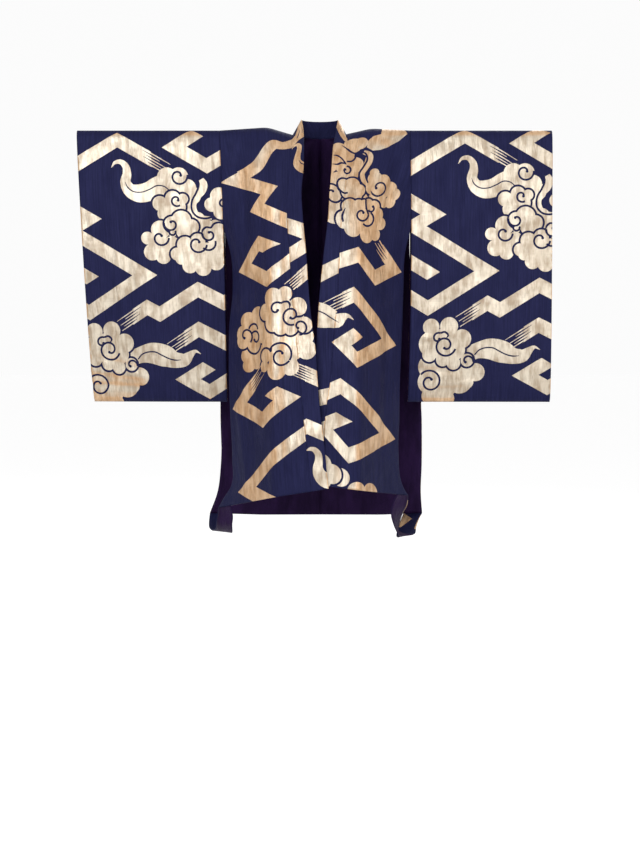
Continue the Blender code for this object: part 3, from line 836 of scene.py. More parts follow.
def draw_right_tails(chart):
    """What reaches over from the clouds beside the right front, at the neck and at the hem."""
    chart.fill([(64, 44), (80, 36), (90, 22), (98, 10), (108, -8), (128, -10), (126, 40), (117, 60),
                (101, 62), (86, 65), (72, 60)])
    chart.line([(101, 28), (93, 40), (84, 53)], 3.2)
    chart.line([(113, 20), (106, 44)], 2.6)
    chart.swirl([(64, 88, 2), (71, 81, 6), (82, 80, 11), (89, 91, 15), (87, 106, 17), (82, 122, 19),
                 (80, 140, 24), (92, 160, 27), (114, 178, 28)])
    chart.line([(86, 137), (92, 149), (104, 158)], 2.6)
    chart.swirl([(91, 904, 2), (99, 900, 9), (109, 901, 13), (119, 912, 17), (121, 930, 20),
                 (118, 948, 25), (122, 968, 34), (138, 985, 46), (160, 990, 52)])


def front_right_chart(on_collar=False):
    """The wearer's right front. The collar's bands don't quite meet the body's at the seam."""
    chart = Chart()
    chart.swirl([(78, 52, 30), (64, 64, 30), (40, 74, 26), (16, 72, 30), (-2, 88, 30), (-17, 113, 31),
                 (-34, 138, 35), (-56, 153, 38), (-84, 167, 40)])
    if on_collar:
        chart.band([(49, 313), (129, 358), (51, 394)])
    else:
        chart.band([(-70, 160), (-101, 178), (-2, 212), (-39, 261), (49, 300), (140, 351),
                    (-11, 452), (-93, 416), (-39, 356), (2, 371)], end="slant")
    chart.band([(73, 461), (140, 413)], start="fray")
    draw_right_cloud(chart)
    chart.band([(92, 702), (128, 718), (220, 757)], start="fray")
    chart.band([(-66, 712), (-131, 766), (-37, 811), (43, 764), (-3, 741)], start="fray", end="slant")
    chart.band([(60, 864), (93, 840), (170, 874)] if on_collar else
               [(34, 1046), (-118, 979), (89, 859), (170, 887)])
    draw_right_tails(chart)
    return chart


def draw_left_cloud(chart):
    """The cloud at the chest of the wearer's left front."""
    chart.puffs([(-104, 124, 28), (-104, 158, 28), (-106, 196, 28)], outlined=False)
    chart.puffs([(-70, 110, 36), (-60, 140, 34), (-40, 170, 26), (-30, 140, 26), (-10, 225, 24),
                 (2, 245, 22), (-60, 200, 30)], outlined=False)
    chart.swirl([(-10, 97, 12), (6, 104, 18), (8, 124, 21), (2, 146, 18), (-5, 165, 16), (1, 184, 15),
                 (14, 202, 12), (30, 214, 7)])
    chart.puffs([(-42, 74, 26), (-22, 68, 20)], outlined=False)
    chart.line([(-74, 82), (-58, 85), (-45, 96), (-31, 102), (-18, 98), (-6, 100), (3, 118),
                (-3, 142), (-12, 166), (-6, 188), (9, 203), (30, 214)])
    chart.line([(-29, 105), (-31, 117), (-38, 127), (-52, 129)])
    chart.line([(-95, 128), (-82, 124), (-70, 126), (-54, 137)])
    chart.line([(-92, 156), (-76, 150), (-68, 142), (-52, 137)])
    chart.curl(-50, 144, 0, 340, 13.5)
    chart.puffs([(-78, 240, 24), (-70, 285, 32), (-52, 262, 24), (-92, 262, 24)],
                [(-50, 240, 95, 300, 24)])
    chart.puffs([(-46, 206, 20), (-28, 202, 22), (-8, 217, 19), (-14, 230, 18), (-36, 222, 18)])
    chart.line([(-66, 206), (-65, 215), (-58, 222), (-48, 226), (-36, 224)])
    chart.puffs([(30, 160, 13), (34, 178, 20), (60, 188, 23), (84, 208, 24), (102, 224, 19),
                 (94, 246, 17), (74, 250, 14), (46, 238, 22), (60, 220, 24), (34, 206, 22)],
                [(46, 232, 5, -330, 24)], outlined=False)
    chart.line([(28, 216), (35, 226), (46, 232)])
    chart.puffs([(-28, 262, 20), (-4, 258, 15), (12, 256, 13), (-36, 300, 25), (-14, 322, 24),
                 (28, 338, 22), (56, 336, 16), (12, 300, 32), (38, 312, 26), (-22, 280, 24),
                 (25, 254, 14), (42, 264, 19), (57, 284, 19), (68, 306, 17, 1.2), (44, 292, 26)],
                [(30, 284, 95, 350, 20), (36, 279, 25, 200, 19, 1)])
    chart.curl(17, 242, 90, -35, 73, 1)
    chart.curl(28, 271, 60, -215, 10, 0.6)
    chart.line([(-38, 268), (-43, 282), (-44, 295), (-41, 306)])


def draw_left_ends(chart):
    """What reaches over from the clouds beside the left front, at the hem and at the neck."""
    chart.puffs([(1, 1000, 25, 1.2), (51, 999, 25, 1.2)], outlined=False)
    chart.fill([(-96, -14), (-78, 16), (-62, 40), (-57, 62), (-68, 60), (-82, 50), (-98, 36), (-112, 24),
                (-122, -12)])
    chart.line([(-96, 14), (-88, 30)], 3.2)
    chart.puffs([(-47, 968, 24)], outlined=False)
    chart.puffs([(-70, 962, 26), (-100, 940, 30), (-104, 975, 34)])


def front_left_chart(on_collar=False):
    """The wearer's left front. The collar's bands don't quite meet the body's at the seam."""
    chart = Chart()
    chart.fill([(30, -12), (82, -12), (99, 27), (80, 52), (51, 78), (35, 87), (14, 91), (-3, 82),
                (-2, 62), (10, 46), (30, 36)])
    if on_collar:
        chart.band([(0, 392), (-140, 476)])
        chart.band([(-160, 782), (-40, 754)])
        chart.band([(-26, 920), (-93, 850), (-37, 823)])
    else:
        chart.band([(87, 379), (129, 418), (58, 448), (1, 392), (-140, 443)], start="fray")
        chart.band([(-160, 795), (-47, 735), (123, 849), (-26, 910), (-93, 840), (-37, 813)],
                   end="slant")
    chart.band([(-42, 513), (-12, 497), (119, 608), (-3, 664), (-44, 626), (1, 594)],
               start="fray", end="slant")
    chart.swirl([(-120, 548, 60), (-90, 556, 62), (-70, 562, 50), (-54, 566, 38), (-42, 558, 24),
                 (-28, 553, 11), (-13, 562, 1)])
    chart.line([(-51, 572), (-68, 562), (-90, 548), (-110, 540)], 3.4)
    draw_left_cloud(chart)
    draw_left_ends(chart)
    return chart


# Where the repeat starts on each back, and on the front and the back of each sleeve.
BACK_FIGURES = {"right": (-206, 15), "left": (-168, -515)}
SLEEVE_FIGURES = {"right": ((0, 0), (38, -14)), "left": ((38, -11), (0, -14))}


def back_chart(side):
    """The back of a body length, turned to run up behind the shoulder, where t is negative."""
    chart = Chart()
    repeat = sleeve_chart()
    start_s, start_t = BACK_FIGURES[side.name]
    for number in range(3):
        chart.shifted(repeat, start_s, start_t + REPEAT * number)
    return Chart().shifted(chart, 0, 0, flip=-1)


def both_sides(front, back):
    """A chart of a whole length: the front's figures below the shoulder, the back's behind it."""
    chart = Chart().shifted(back, 0, 0)
    # The ground of the front hides what runs over the shoulder from behind.
    chart.fill([(-500, 0), (700, 0), (700, 1500), (-500, 1500)], DARK)
    return chart.shifted(front, 0, 0)


def strip_charts():
    """What shows on the two strips, from the front hem to the back hem."""
    charts = {"right": Chart(), "left": Chart()}
    charts["left"].fill([(-6, 300), (3, 290), (32, 260), (8, 229), (-6, 233)])
    charts["left"].fill([(48, 214), (60, 208), (60, 296), (54, 290), (51, 256)])
    charts["left"].fill([(49.5, 12), (60, 12), (60, 150), (49.5, 150)])
    return charts


# Cutting the cloth into a mesh.

def winds_round(outline, points):
    """Which points lie inside the outline."""
    s, t = points[:, 0, None], points[:, 1, None]
    first, last = outline, np.roll(outline, -1, axis=0)
    cross = (last[:, 0] - first[:, 0]) * (t - first[:, 1]) - (s - first[:, 0]) * (last[:, 1] - first[:, 1])
    down = (first[:, 1] <= t) & (last[:, 1] > t) & (cross > 0)
    up = (first[:, 1] > t) & (last[:, 1] <= t) & (cross < 0)
    return down.sum(axis=1) != up.sum(axis=1)


def inks_at(chart, points):
    """The ink that the chart leaves at each point."""
    inks = np.full(len(points), DARK)
    for outline, ink in chart.figures:
        in_box = (points > outline.min(axis=0)) & (points < outline.max(axis=0))
        near = np.flatnonzero(in_box.all(axis=1))
        if len(near):
            inks[near[winds_round(outline, points[near])]] = ink
    return inks


def divided(ring, longest):
    """A closed ring of points with no side longer than that."""
    pieces = []
    for first, last in zip(ring, np.roll(ring, -1, axis=0)):
        count = max(1, int(np.ceil(np.linalg.norm(last - first) / longest)))
        pieces.append(first + (last - first) * np.linspace(0, 1, count, endpoint=False)[:, None])
    return np.vstack(pieces)


def ring_edges(rings):
    """The edges round each ring, as pairs of numbers in the rings' points taken one after another."""
    edges = []
    start = 0
    for ring in rings:
        numbers = np.arange(len(ring))
        edges.append(np.stack((numbers, (numbers + 1) % len(ring)), axis=1) + start)
        start += len(ring)
    return np.vstack(edges).tolist()


class FlatCloth:
    """A piece laid flat and cut along the outlines of its figures, in millimetres."""

    def __init__(self, form, chart, cell):
        rows = np.linspace(form.first, form.last, int((form.last - form.first) / cell) + 1)
        left, right = form.span(rows)
        self.rows, self.left, self.right = rows / MM, left / MM, right / MM
        self.cell = cell / MM

        rings = [self.border()] + self.cut_lines(chart)
        points = np.vstack(rings)
        points = np.vstack((points, self.inner_points(points)))
        result = delaunay_2d_cdt([Vector(point) for point in points], ring_edges(rings), [], 0,
                                 SAME_POINT, False)
        points = np.array([tuple(point) for point in result[0]])
        triangles = np.array([face for face in result[2] if len(face) == 3])
        middle = points[triangles].mean(axis=1)
        kept = self.covers(middle)
        self.inks = inks_at(chart, middle[kept])
        used, numbers = np.unique(triangles[kept], return_inverse=True)
        self.points = points[used]
        self.triangles = numbers.reshape(-1, 3)

    def border(self):
        """The piece's own outline, as a ring of points about a cell apart."""
        ends = []
        for end in (0, -1):
            count = int((self.right[end] - self.left[end]) / self.cell)
            s = np.linspace(self.left[end], self.right[end], count + 1)[1:-1]
            ends.append(np.stack((s, np.full(len(s), self.rows[end])), axis=1))
        left_side = np.stack((self.left, self.rows), axis=1)
        right_side = np.stack((self.right, self.rows), axis=1)
        return np.vstack((left_side, ends[1], right_side[::-1], ends[0][::-1]))

    def cut_lines(self, chart):
        """The outlines of the figures that reach the piece, kept within a cell of it."""
        low, high = self.left.min() - self.cell, self.right.max() + self.cell
        first, last = self.rows[0], self.rows[-1]
        lines = []
        for outline, _ in chart.figures:
            past_start = (outline.max(axis=0) > (low, first)).all()
            if past_start and (outline.min(axis=0) < (high, last)).all():
                line = divided(outline, LONGEST_CUT)
                lines.append(np.clip(line, (low, first - self.cell), (high, last + self.cell)))
        return lines

    def inner_points(self, taken):
        """A grid of points inside the border, clear of the points that are taken already."""
        near = KDTree(len(taken))
        for number, point in enumerate(taken):
            near.insert((*point, 0), number)
        near.balance()
        inner = []
        for t, left, right in zip(self.rows[1:-1], self.left[1:-1], self.right[1:-1]):
            columns = np.arange(np.ceil(left / self.cell + CELL_CLEAR), right / self.cell - CELL_CLEAR)
            for s in columns * self.cell:
                if near.find((s, t, 0))[2] > self.cell * CELL_CLEAR:
                    inner.append((s, t))
        return inner

    def covers(self, points):
        """Which points lie on the piece."""
        s, t = points.T
        across = (s > np.interp(t, self.rows, self.left)) & (s < np.interp(t, self.rows, self.right))
        return across & (t > self.rows[0]) & (t < self.rows[-1])


def woven_piece(name, form, chart, cell, lift):
    """A piece of brocade whose gilt and dark parts are cut along the figures' outlines.

    The lift off the form is one height, or a function of the share of the width from the left.
    """
    cloth = FlatCloth(form, chart, cell)
    s, t = (cloth.points * MM).T
    left, right = form.span(t)
    share = (s - left) / (right - left)
    points = form.surface(s, t, lift(share)[:, None] if callable(lift) else lift)
    triangles = cloth.triangles[:, ::-1] if form.turn > 0 else cloth.triangles
    mesh = bpy.data.meshes.new(name)
    mesh.from_pydata(points.tolist(), [], triangles.tolist())
    mesh.polygons.foreach_set("material_index", cloth.inks)
    flat = mesh.uv_layers.new(name="flat")
    flat.uv.foreach_set("vector", (cloth.points * MM)[triangles].ravel())
    mesh.shade_smooth()
    return mesh


def no_lap(t):
    """A lining that ends where its brocade ends."""
    return np.zeros(len(t))


def inside_piping(t):
    """A strip's lining, which leaves some brocade to be seen beside it."""
    return np.full(len(t), -PIPING)


def lap_behind_armhole(t):
    """How far the lining of a body length runs on under the sleeve's, where the armhole seam ends."""
    begins, ends = 0.03, 0.04       # lengths over which it widens and narrows
    widens = smooth_step(-t, ARMHOLE, ARMHOLE + begins)
    return LAP * widens * smooth_step(t, -2 * ARMHOLE, -2 * ARMHOLE + ends)


def lap_under_collar(form, t):
    """How far the lining of a body length runs on under the collar behind the neck."""
    if not isinstance(form, BodyForm):
        return np.zeros(len(t))
    begins, ends = 0.01, 0.03       # lengths over which it widens and narrows
    return LAP * smooth_step(t, form.nape, form.nape + begins) * smooth_step(-t, -ends, 0)


def lining_piece(name, form, cell, lift, lap):
    """A piece of lining, whose good side is the inner one. lap is added at its outer edge."""
    shape = bmesh.new()
    rows = int((form.last - form.first) / cell)
    left, right = form.span(np.array(((form.first + form.last) / 2,)))
    columns = int((right - left)[0] / cell)
    bmesh.ops.create_grid(shape, x_segments=columns, y_segments=rows, size=0.5, calc_uvs=True)
    grid = np.array([vertex.co for vertex in shape.verts]) + 0.5
    t = form.first + grid[:, 1] * (form.last - form.first)
    left, right = form.span(t)
    outer, inner = lap(t), lap_under_collar(form, t)
    if form.outward < 0:
        left, right = left - outer, right + inner
    else:
        left, right = left - inner, right + outer
    s = left + grid[:, 0] * (right - left)
    places = form.surface(s, t, lift)
    flat = shape.loops.layers.uv.verify()
    for vertex, place in zip(shape.verts, places):
        vertex.co = place
    for face in shape.faces:
        for loop in face.loops:
            loop[flat].uv = (s[loop.vert.index], t[loop.vert.index])
    if form.turn < 0:
        bmesh.ops.reverse_faces(shape, faces=shape.faces)
    mesh = bpy.data.meshes.new(name)
    shape.to_mesh(mesh)
    shape.free()
    mesh.uv_layers[0].name = "flat"
    mesh.shade_smooth()
    return mesh


def join_meshes(name, meshes):
    """Several meshes as one, welded where their edges meet."""
    shape = bmesh.new()
    for mesh in meshes:
        shape.from_mesh(mesh)
        bpy.data.meshes.remove(mesh)
    bmesh.ops.remove_doubles(shape, verts=shape.verts, dist=WELD)
    mesh = bpy.data.meshes.new(name)
    shape.to_mesh(mesh)
    shape.free()
    mesh.shade_smooth()
    return mesh


def add_piece(mesh, node, wall, materials):
    """A finished piece of cloth that stands for its CAD node."""
    piece = bpy.data.objects.new(mesh.name, mesh)
    bpy.context.scene.collection.objects.link(piece)
    for material in materials:
        mesh.materials.append(material)
    thickness = piece.modifiers.new("thickness", "SOLIDIFY")
    thickness.thickness = wall
    thickness.offset = -1
    thickness.use_quality_normals = True
    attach(piece, "root")
    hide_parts(node)
    return piece


BODIES = {"right": BodyForm(RIGHT), "left": BodyForm(LEFT)}
SLEEVES = {"right": SleeveForm(RIGHT), "left": SleeveForm(LEFT)}
COLLARS = {name: CollarForm(body) for name, body in BODIES.items()}
STRIPS = {name: strip_form(body) for name, body in BODIES.items()}
for side_name, body_form in BODIES.items():
    body_form.creases = COLLARS[side_name].creases = CREASES["body_" + side_name]
    SLEEVES[side_name].creases = CREASES["sleeve_" + side_name]


# Materials. Their patterns lie on the flat cloth, whose coordinates are in metres.

def add_node(tree, kind, inputs=None, **settings):
    """A new node with its settings. An input is given a value or another node's output."""
    made = tree.nodes.new(kind)
    for name, value in settings.items():
        setattr(made, name, value)
    for name, value in (inputs or {}).items():
        if isinstance(value, bpy.types.NodeSocket):
            tree.links.new(value, made.inputs[name])
        else:
            made.inputs[name].default_value = value
    return made


def node_group(name, inputs, output):
    """A new shader node group, what it is given and where its result goes."""
    group = bpy.data.node_groups.new(name, "ShaderNodeTree")
    for title, kind, value in inputs:
        made = group.interface.new_socket(title, in_out="INPUT", socket_type="NodeSocket" + kind)
        if value is not None:
            made.default_value = value
    group.interface.new_socket(output, in_out="OUTPUT", socket_type="NodeSocketFloat")
    given = group.nodes.new("NodeGroupInput").outputs
    return group, given, group.nodes.new("NodeGroupOutput").inputs[output]


def math_node(tree, operation, first, second=0.0):
    """The result of one operation on numbers."""
    return add_node(tree, "ShaderNodeMath", {0: first, 1: second}, operation=operation).outputs[0]


def share_node(tree, value, low, high):
    """0 below low, 1 above high, and smooth between. With low above high it falls instead."""
    made = add_node(tree, "ShaderNodeMapRange", {"Value": value, "From Min": low, "From Max": high},
                    interpolation_type="SMOOTHSTEP")
    return made.outputs["Result"]


def mixed(tree, share, first, second):
    """Two colours mixed."""
    inputs = {0: share}
    for number, colour in ((6, first), (7, second)):
        inputs[number] = colour if isinstance(colour, bpy.types.NodeSocket) else (*colour, 1)
    return add_node(tree, "ShaderNodeMix", inputs, data_type="RGBA").outputs[2]


def weave_group():
    """Fine twill: ribs that climb across the cloth, broken by uneven threads."""
    group, given, result = node_group(
        "twill",
        (("Flat", "Vector", None), ("Pitch", "Float", 0.001), ("Unevenness", "Float", 0.5)), "Height")
    threads = add_node(group, "ShaderNodeVectorMath", {0: given["Flat"]}, operation="SCALE")
    group.links.new(math_node(group, "DIVIDE", 1.0, given["Pitch"]), threads.inputs["Scale"])
    parts = add_node(group, "ShaderNodeSeparateXYZ", {0: threads.outputs[0]}).outputs
    slant = math_node(group, "ADD", parts["X"], math_node(group, "MULTIPLY", parts["Y"], 0.5))
    ribs = math_node(group, "SINE", math_node(group, "MULTIPLY", slant, 2 * pi))
    noise = add_node(group, "ShaderNodeTexNoise", {"Vector": threads.outputs[0], "Scale": 0.7, "Detail": 2.0})
    uneven = math_node(group, "MULTIPLY", noise.outputs["Fac"], given["Unevenness"])
    group.links.new(math_node(group, "ADD", math_node(group, "MULTIPLY", ribs, 0.25), uneven), result)
    return group


def streak_group():
    """Streaks that run with the threads, as many to the metre each way as asked."""
    group, given, result = node_group(
        "streaks",
        (("Flat", "Vector", None), ("Across", "Float", 400.0), ("Along", "Float", 20.0),
         ("Low", "Float", 0.4), ("High", "Float", 0.6)), "Mask")
    scale = add_node(group, "ShaderNodeCombineXYZ", {"X": given["Across"], "Y": given["Along"], "Z": 1.0})
    place = add_node(group, "ShaderNodeVectorMath", {0: given["Flat"], 1: scale.outputs[0]},
                     operation="MULTIPLY")
    noise = add_node(group, "ShaderNodeTexNoise",
                     {"Vector": place.outputs[0], "Scale": 1.0, "Detail": 3.0, "Roughness": 0.6})
    group.links.new(share_node(group, noise.outputs["Fac"], given["Low"], given["High"]), result)
    return group


class Finish:
    """A material in the making, with its node tree and the flat cloth's coordinates."""

    def __init__(self, name, groups):
        self.material = bpy.data.materials.new(name)
        self.material.use_nodes = True
        self.tree = self.material.node_tree
        self.flat = add_node(self.tree, "ShaderNodeUVMap", uv_map="flat").outputs[0]
        self.groups = groups

    def pattern(self, group, **inputs):
        """One use of a node group, with its own values."""
        inputs["Flat"] = self.flat
        return add_node(self.tree, "ShaderNodeGroup", inputs, node_tree=self.groups[group]).outputs[0]

    def streaks(self, across, along, low, high):
        """Streaks, as many to the metre each way."""
        return self.pattern("streaks", Across=across, Along=along, Low=low, High=high)

    def combined(self, operation, first, second):
        """Two values added, multiplied or compared."""
        return math_node(self.tree, operation, first, second)

    def scaled(self, value, factor):
        """A value made weaker."""
        return self.combined("MULTIPLY", value, factor)

    def mix(self, share, first, second):
        """Two colours mixed."""
        return mixed(self.tree, share, first, second)

    def painted_sheen_falloff(self, flat_on, slanted):
        """0 where the cloth faces straight ahead or straight back, 1 where it is turned to the side: the mask
        of the gilt's painted sheen.
        """
        normal = add_node(self.tree, "ShaderNodeTexCoord").outputs["Normal"]
        parts = add_node(self.tree, "ShaderNodeSeparateXYZ", {0: normal}).outputs
        ahead = math_node(self.tree, "ABSOLUTE", parts["Y"])
        return share_node(self.tree, ahead, flat_on, slanted)

    def finished(self, colour, roughness, ripples, threads, **values):
        """The finished material. Ripples and threads are each a height and its size in metres."""
        wide = add_node(self.tree, "ShaderNodeBump", {"Height": ripples[0], "Distance": ripples[1]})
        bump = add_node(self.tree, "ShaderNodeBump",
                        {"Height": threads[0], "Distance": threads[1], "Normal": wide.outputs[0]})
        shader = self.tree.nodes["Principled BSDF"]
        for name, value in (("Base Color", colour), ("Roughness", roughness), ("Normal", bump.outputs[0])):
            self.tree.links.new(value, shader.inputs[name])
        for name, value in values.items():
            shader.inputs[name.replace("_", " ")].default_value = value
        return self.material


def ground_silk(groups, colours):
    """Dark silk twill with a soft bloom."""
    cloth = Finish("dark_silk", groups)
    streaks = cloth.streaks(420.0, 9.0, 0.30, 0.70)
    patches = cloth.streaks(26.0, 11.0, 0.35, 0.68)
    colour = cloth.mix(streaks, colours.silk_deep, colours.silk)
    colour = cloth.mix(cloth.scaled(patches, 0.35), colour, colours.silk_deep)
    roughness = cloth.combined("ADD", 0.50, cloth.scaled(patches, 0.14))
    height = cloth.pattern("twill", Pitch=0.0011, Unevenness=0.7)
    return cloth.finished(colour, roughness, (patches, 0.0012), (height, 0.00016),
                          Sheen_Weight=0.03, Sheen_Roughness=0.4, Sheen_Tint=(0.35, 0.40, 1.0, 1),
                          Specular_IOR_Level=0.16, Specular_Tint=(0.45, 0.50, 1.0, 1))


def gilt_thread(groups, colours):
    """Gilt thread laid across the silk, worn along the warp, with painted sheen where the cloth faces ahead
    and painted shade in patches.
    """
    cloth = Finish("gilt_thread", groups)
    fold_shade_streaks = cloth.streaks(62.0, 14.0, 0.38, 0.64)
    patches = cloth.streaks(16.0, 20.0, 0.36, 0.66)
    rubbed = cloth.streaks(330.0, 26.0, 0.58, 0.68)
    weft = cloth.streaks(24.0, 560.0, 0.56, 0.72)
    worn = cloth.combined("MAXIMUM", rubbed, cloth.scaled(weft, 0.6))
    # Painted shade in patches: where the crinkle bump rises, the gilt's colour is darkened too.
    crinkle_height_and_shade = cloth.combined("ADD", cloth.scaled(fold_shade_streaks, 0.65), cloth.scaled(patches, 0.35))
    # Painted sheen: the pale colour stands for the front lights' reflection where the cloth faces ahead or
    # back, and the warm one is used where the cloth turns to the side.
    facing = cloth.mix(crinkle_height_and_shade, colours.gilt_facing_lit, colours.gilt_facing_shaded)
    slanted = cloth.mix(crinkle_height_and_shade, colours.gilt_turned_side, colours.gilt_turned_shaded)
    colour = cloth.mix(cloth.painted_sheen_falloff(0.985, 0.86), facing, slanted)
    colour = cloth.mix(cloth.scaled(worn, 0.42), colour, colours.gilt_worn)
    roughness = cloth.combined("ADD", 0.30, cloth.scaled(patches, 0.20))
    height = cloth.pattern("twill", Pitch=0.0013, Unevenness=1.4)
    return cloth.finished(colour, roughness, (crinkle_height_and_shade, 0.0014), (height, 0.00014),
                          Metallic=0.4, Coat_Weight=0.35, Coat_Roughness=0.35, Coat_IOR=1.6)


def lining_silk(groups, colours):
    """Smooth purple silk, its colour made darker as painted shade for the shade inside the jacket."""
    cloth = Finish("purple_silk", groups)
    patches = cloth.streaks(30.0, 8.0, 0.3, 0.7)
    colour = cloth.mix(patches, colours.lining, colours.lining_deep)
    roughness = cloth.combined("ADD", 0.40, cloth.scaled(patches, 0.15))
    height = cloth.pattern("twill", Pitch=0.0008, Unevenness=0.5)
    return cloth.finished(colour, roughness, (patches, 0.0010), (height, 0.0001),
                          Sheen_Weight=0.02, Sheen_Roughness=0.4, Sheen_Tint=(0.5, 0.2, 0.9, 1),
                          Specular_IOR_Level=0.15, Specular_Tint=(0.6, 0.4, 1.0, 1))


# The settings that a user would change, and the operators that make the jacket.

def colour_setting(name, description, default):
    """A colour that the user can change."""
    return FloatVectorProperty(name=name, description=description, subtype="COLOR", size=3, min=0, max=1,
                               default=default)


def length_setting(name, description, default, **limits):
    """A length that the user can change."""
    return FloatProperty(name=name, description=description, unit="LENGTH", default=default, **limits)


class SilkSettings(bpy.types.PropertyGroup):
    """What a user would change in the cloth."""

    silk: colour_setting("Silk", "Dark ground of the brocade", (0.0150, 0.0155, 0.0560))
    silk_deep: colour_setting("Deep silk", "Darker threads and patches of the ground",
                              (0.0085, 0.0088, 0.0330))
    # The gilt's colours are lit and shaded copies. The pale one is painted sheen where the cloth faces ahead,
    # the warm one is for cloth turned aside, and the grey and deep ones are painted shade in the crinkle
    # patches.
    gilt_facing_lit: colour_setting("Pale gilt", "Gilt seen flat on", (0.70, 0.62, 0.50))
    gilt_facing_shaded: colour_setting("Grey gilt", "Toned patches of the gilt seen flat on", (0.34, 0.255, 0.170))
    gilt_turned_side: colour_setting("Warm gilt", "Gilt on cloth that is turned to the side", (0.78, 0.53, 0.32))
    gilt_turned_shaded: colour_setting("Deep gilt", "Toned patches of the gilt on turned cloth", (0.46, 0.25, 0.11))
    gilt_worn: colour_setting("Worn gilt", "What shows where the gilt is rubbed", (0.20, 0.13, 0.10))
    # The lining's purple is partly its own colour and partly painted shade: it is darker than the lit silk to
    # stand for the shade inside the jacket.
    lining: colour_setting("Lining", "Colour of the lining", (0.018, 0.007, 0.036))
    lining_deep: colour_setting("Deep lining", "Lining in its darker patches", (0.009, 0.0035, 0.018))
    cell: length_setting("Cell", "Size of the mesh's cells on the brocade", 0.005, min=0.003)
    lining_cell: length_setting("Lining cell", "Size of the mesh's cells on the lining", 0.007, min=0.003)


class StageSettings(bpy.types.PropertyGroup):
    """What a user would change round the jacket."""

    floor_height: length_setting("Floor height", "Height of the floor from the shoulders", -1.45)
    camera_distance: length_setting("Camera distance", "How far in front of the shoulders it stands", 4.0)
    camera_height: length_setting("Camera height", "Height of the camera from the shoulders", -0.63)
    key_power: FloatProperty(
        name="Key light", description="Power of the large soft light", unit="POWER", default=120.0)
    fill_power: FloatProperty(
        name="Fill light", description="Power of the weaker soft light", unit="POWER", default=50.0)
    room_light: FloatProperty(
        name="Room light", description="Strength of the light from all round", default=0.55)


def silk_materials():
    """The three materials, made at the first call and found after that."""
    if "gilt_thread" not in bpy.data.materials:
        settings = bpy.context.scene.jacket_silk
        groups = {"twill": weave_group(), "streaks": streak_group()}
        for make in (ground_silk, gilt_thread, lining_silk):
            make(groups, settings)
    return {name: bpy.data.materials[name] for name in ("dark_silk", "gilt_thread", "purple_silk")}


def add_brocade(mesh, node, wall):
    """Adds a piece of brocade."""
    found = silk_materials()
    return add_piece(mesh, node, wall, (found["dark_silk"], found["gilt_thread"]))


def add_lining(name, form, cell, lap):
    """Adds the lining of a piece."""
    mesh = lining_piece(name + "_silk", form, cell, -(CLOTH / 2 + SEAM_GAP + LINING), lap)
    return add_piece(mesh, name, LINING, (silk_materials()["purple_silk"],))


def cut_size(form):
    """Width and length of the cut, and its area."""
    t = np.linspace(form.first, form.last, SIZE_ROWS)
    left, right = form.span(t)
    length = float(form.last - form.first)
    return (float((right - left).max()), length), float((right - left).mean() * (form.last - form.first))


def add_lined_piece(name, form, chart, cells, lap):
    """Adds a piece of brocade and its lining.

    cells is the size of the cells on the brocade and on the lining.
    """
    flat, area = cut_size(form)
    mesh = woven_piece(name + "_brocade", form, chart, cells[0], CLOTH / 2)
    piece = add_brocade(mesh, name, CLOTH)
    inner = add_lining("lining_" + name, form, cells[1], lap)


class MESH_OT_jacket_bodies(bpy.types.Operator):
    """Makes the two body lengths and their linings"""

    bl_idname = "mesh.jacket_bodies"
    bl_label = "Body Lengths"

    def execute(self, context):
        settings = context.scene.jacket_silk
        cells = (settings.cell, settings.lining_cell)
        fronts = {"right": front_right_chart(), "left": front_left_chart()}
        for name, form in BODIES.items():
            chart = both_sides(fronts[name], back_chart(form.side))
            add_lined_piece(f"body_{name}", form, chart, cells, lap_behind_armhole)
        return {"FINISHED"}


class MESH_OT_jacket_sleeves(bpy.types.Operator):
    """Makes the two sleeves and their linings"""

    bl_idname = "mesh.jacket_sleeves"
    bl_label = "Sleeves"

    def execute(self, context):
        settings = context.scene.jacket_silk
        cells = (settings.cell, settings.lining_cell)
        repeat = sleeve_chart()
        for name, form in SLEEVES.items():
            fronts, backs = SLEEVE_FIGURES[name]
            chart = both_sides(Chart().shifted(repeat, *fronts), Chart().shifted(repeat, *backs, flip=-1))
            add_lined_piece(f"sleeve_{name}", form, chart, cells, no_lap)
        return {"FINISHED"}


def collar_lift(share):
    """How far the band's face stands off its form. It falls away at the two edges."""
    return BAND_WALL / 2 - BAND_EDGE_THINNER * np.abs(2 * share - 1) ** BAND_EDGE_SHARPNESS


class MESH_OT_jacket_collar(bpy.types.Operator):
    """Makes the collar band, in one piece round the neck"""

    bl_idname = "mesh.jacket_collar"
    bl_label = "Collar Band"

    def execute(self, context):
        charts = {"right": front_right_chart(on_collar=True), "left": front_left_chart(on_collar=True)}
        halves = [woven_piece(f"collar_{name}", form, charts[name], COLLAR_CELL, collar_lift)
                  for name, form in COLLARS.items()]
        mesh = join_meshes("collar_band_brocade", halves)
        piece = add_brocade(mesh, "collar_band", BAND_WALL - BAND_BACK_GAP)
        sizes = [cut_size(form) for form in COLLARS.values()]
        return {"FINISHED"}


class MESH_OT_jacket_strips(bpy.types.Operator):
    """Makes the strips that join the hem corners"""

    bl_idname = "mesh.jacket_strips"
    bl_label = "Hem Strips"

    def execute(self, context):
        charts = strip_charts()
        for name, form in STRIPS.items():
            add_lined_piece(f"strip_{name}", form, charts[name], (STRIP_CELL, STRIP_CELL), inside_piping)
        return {"FINISHED"}


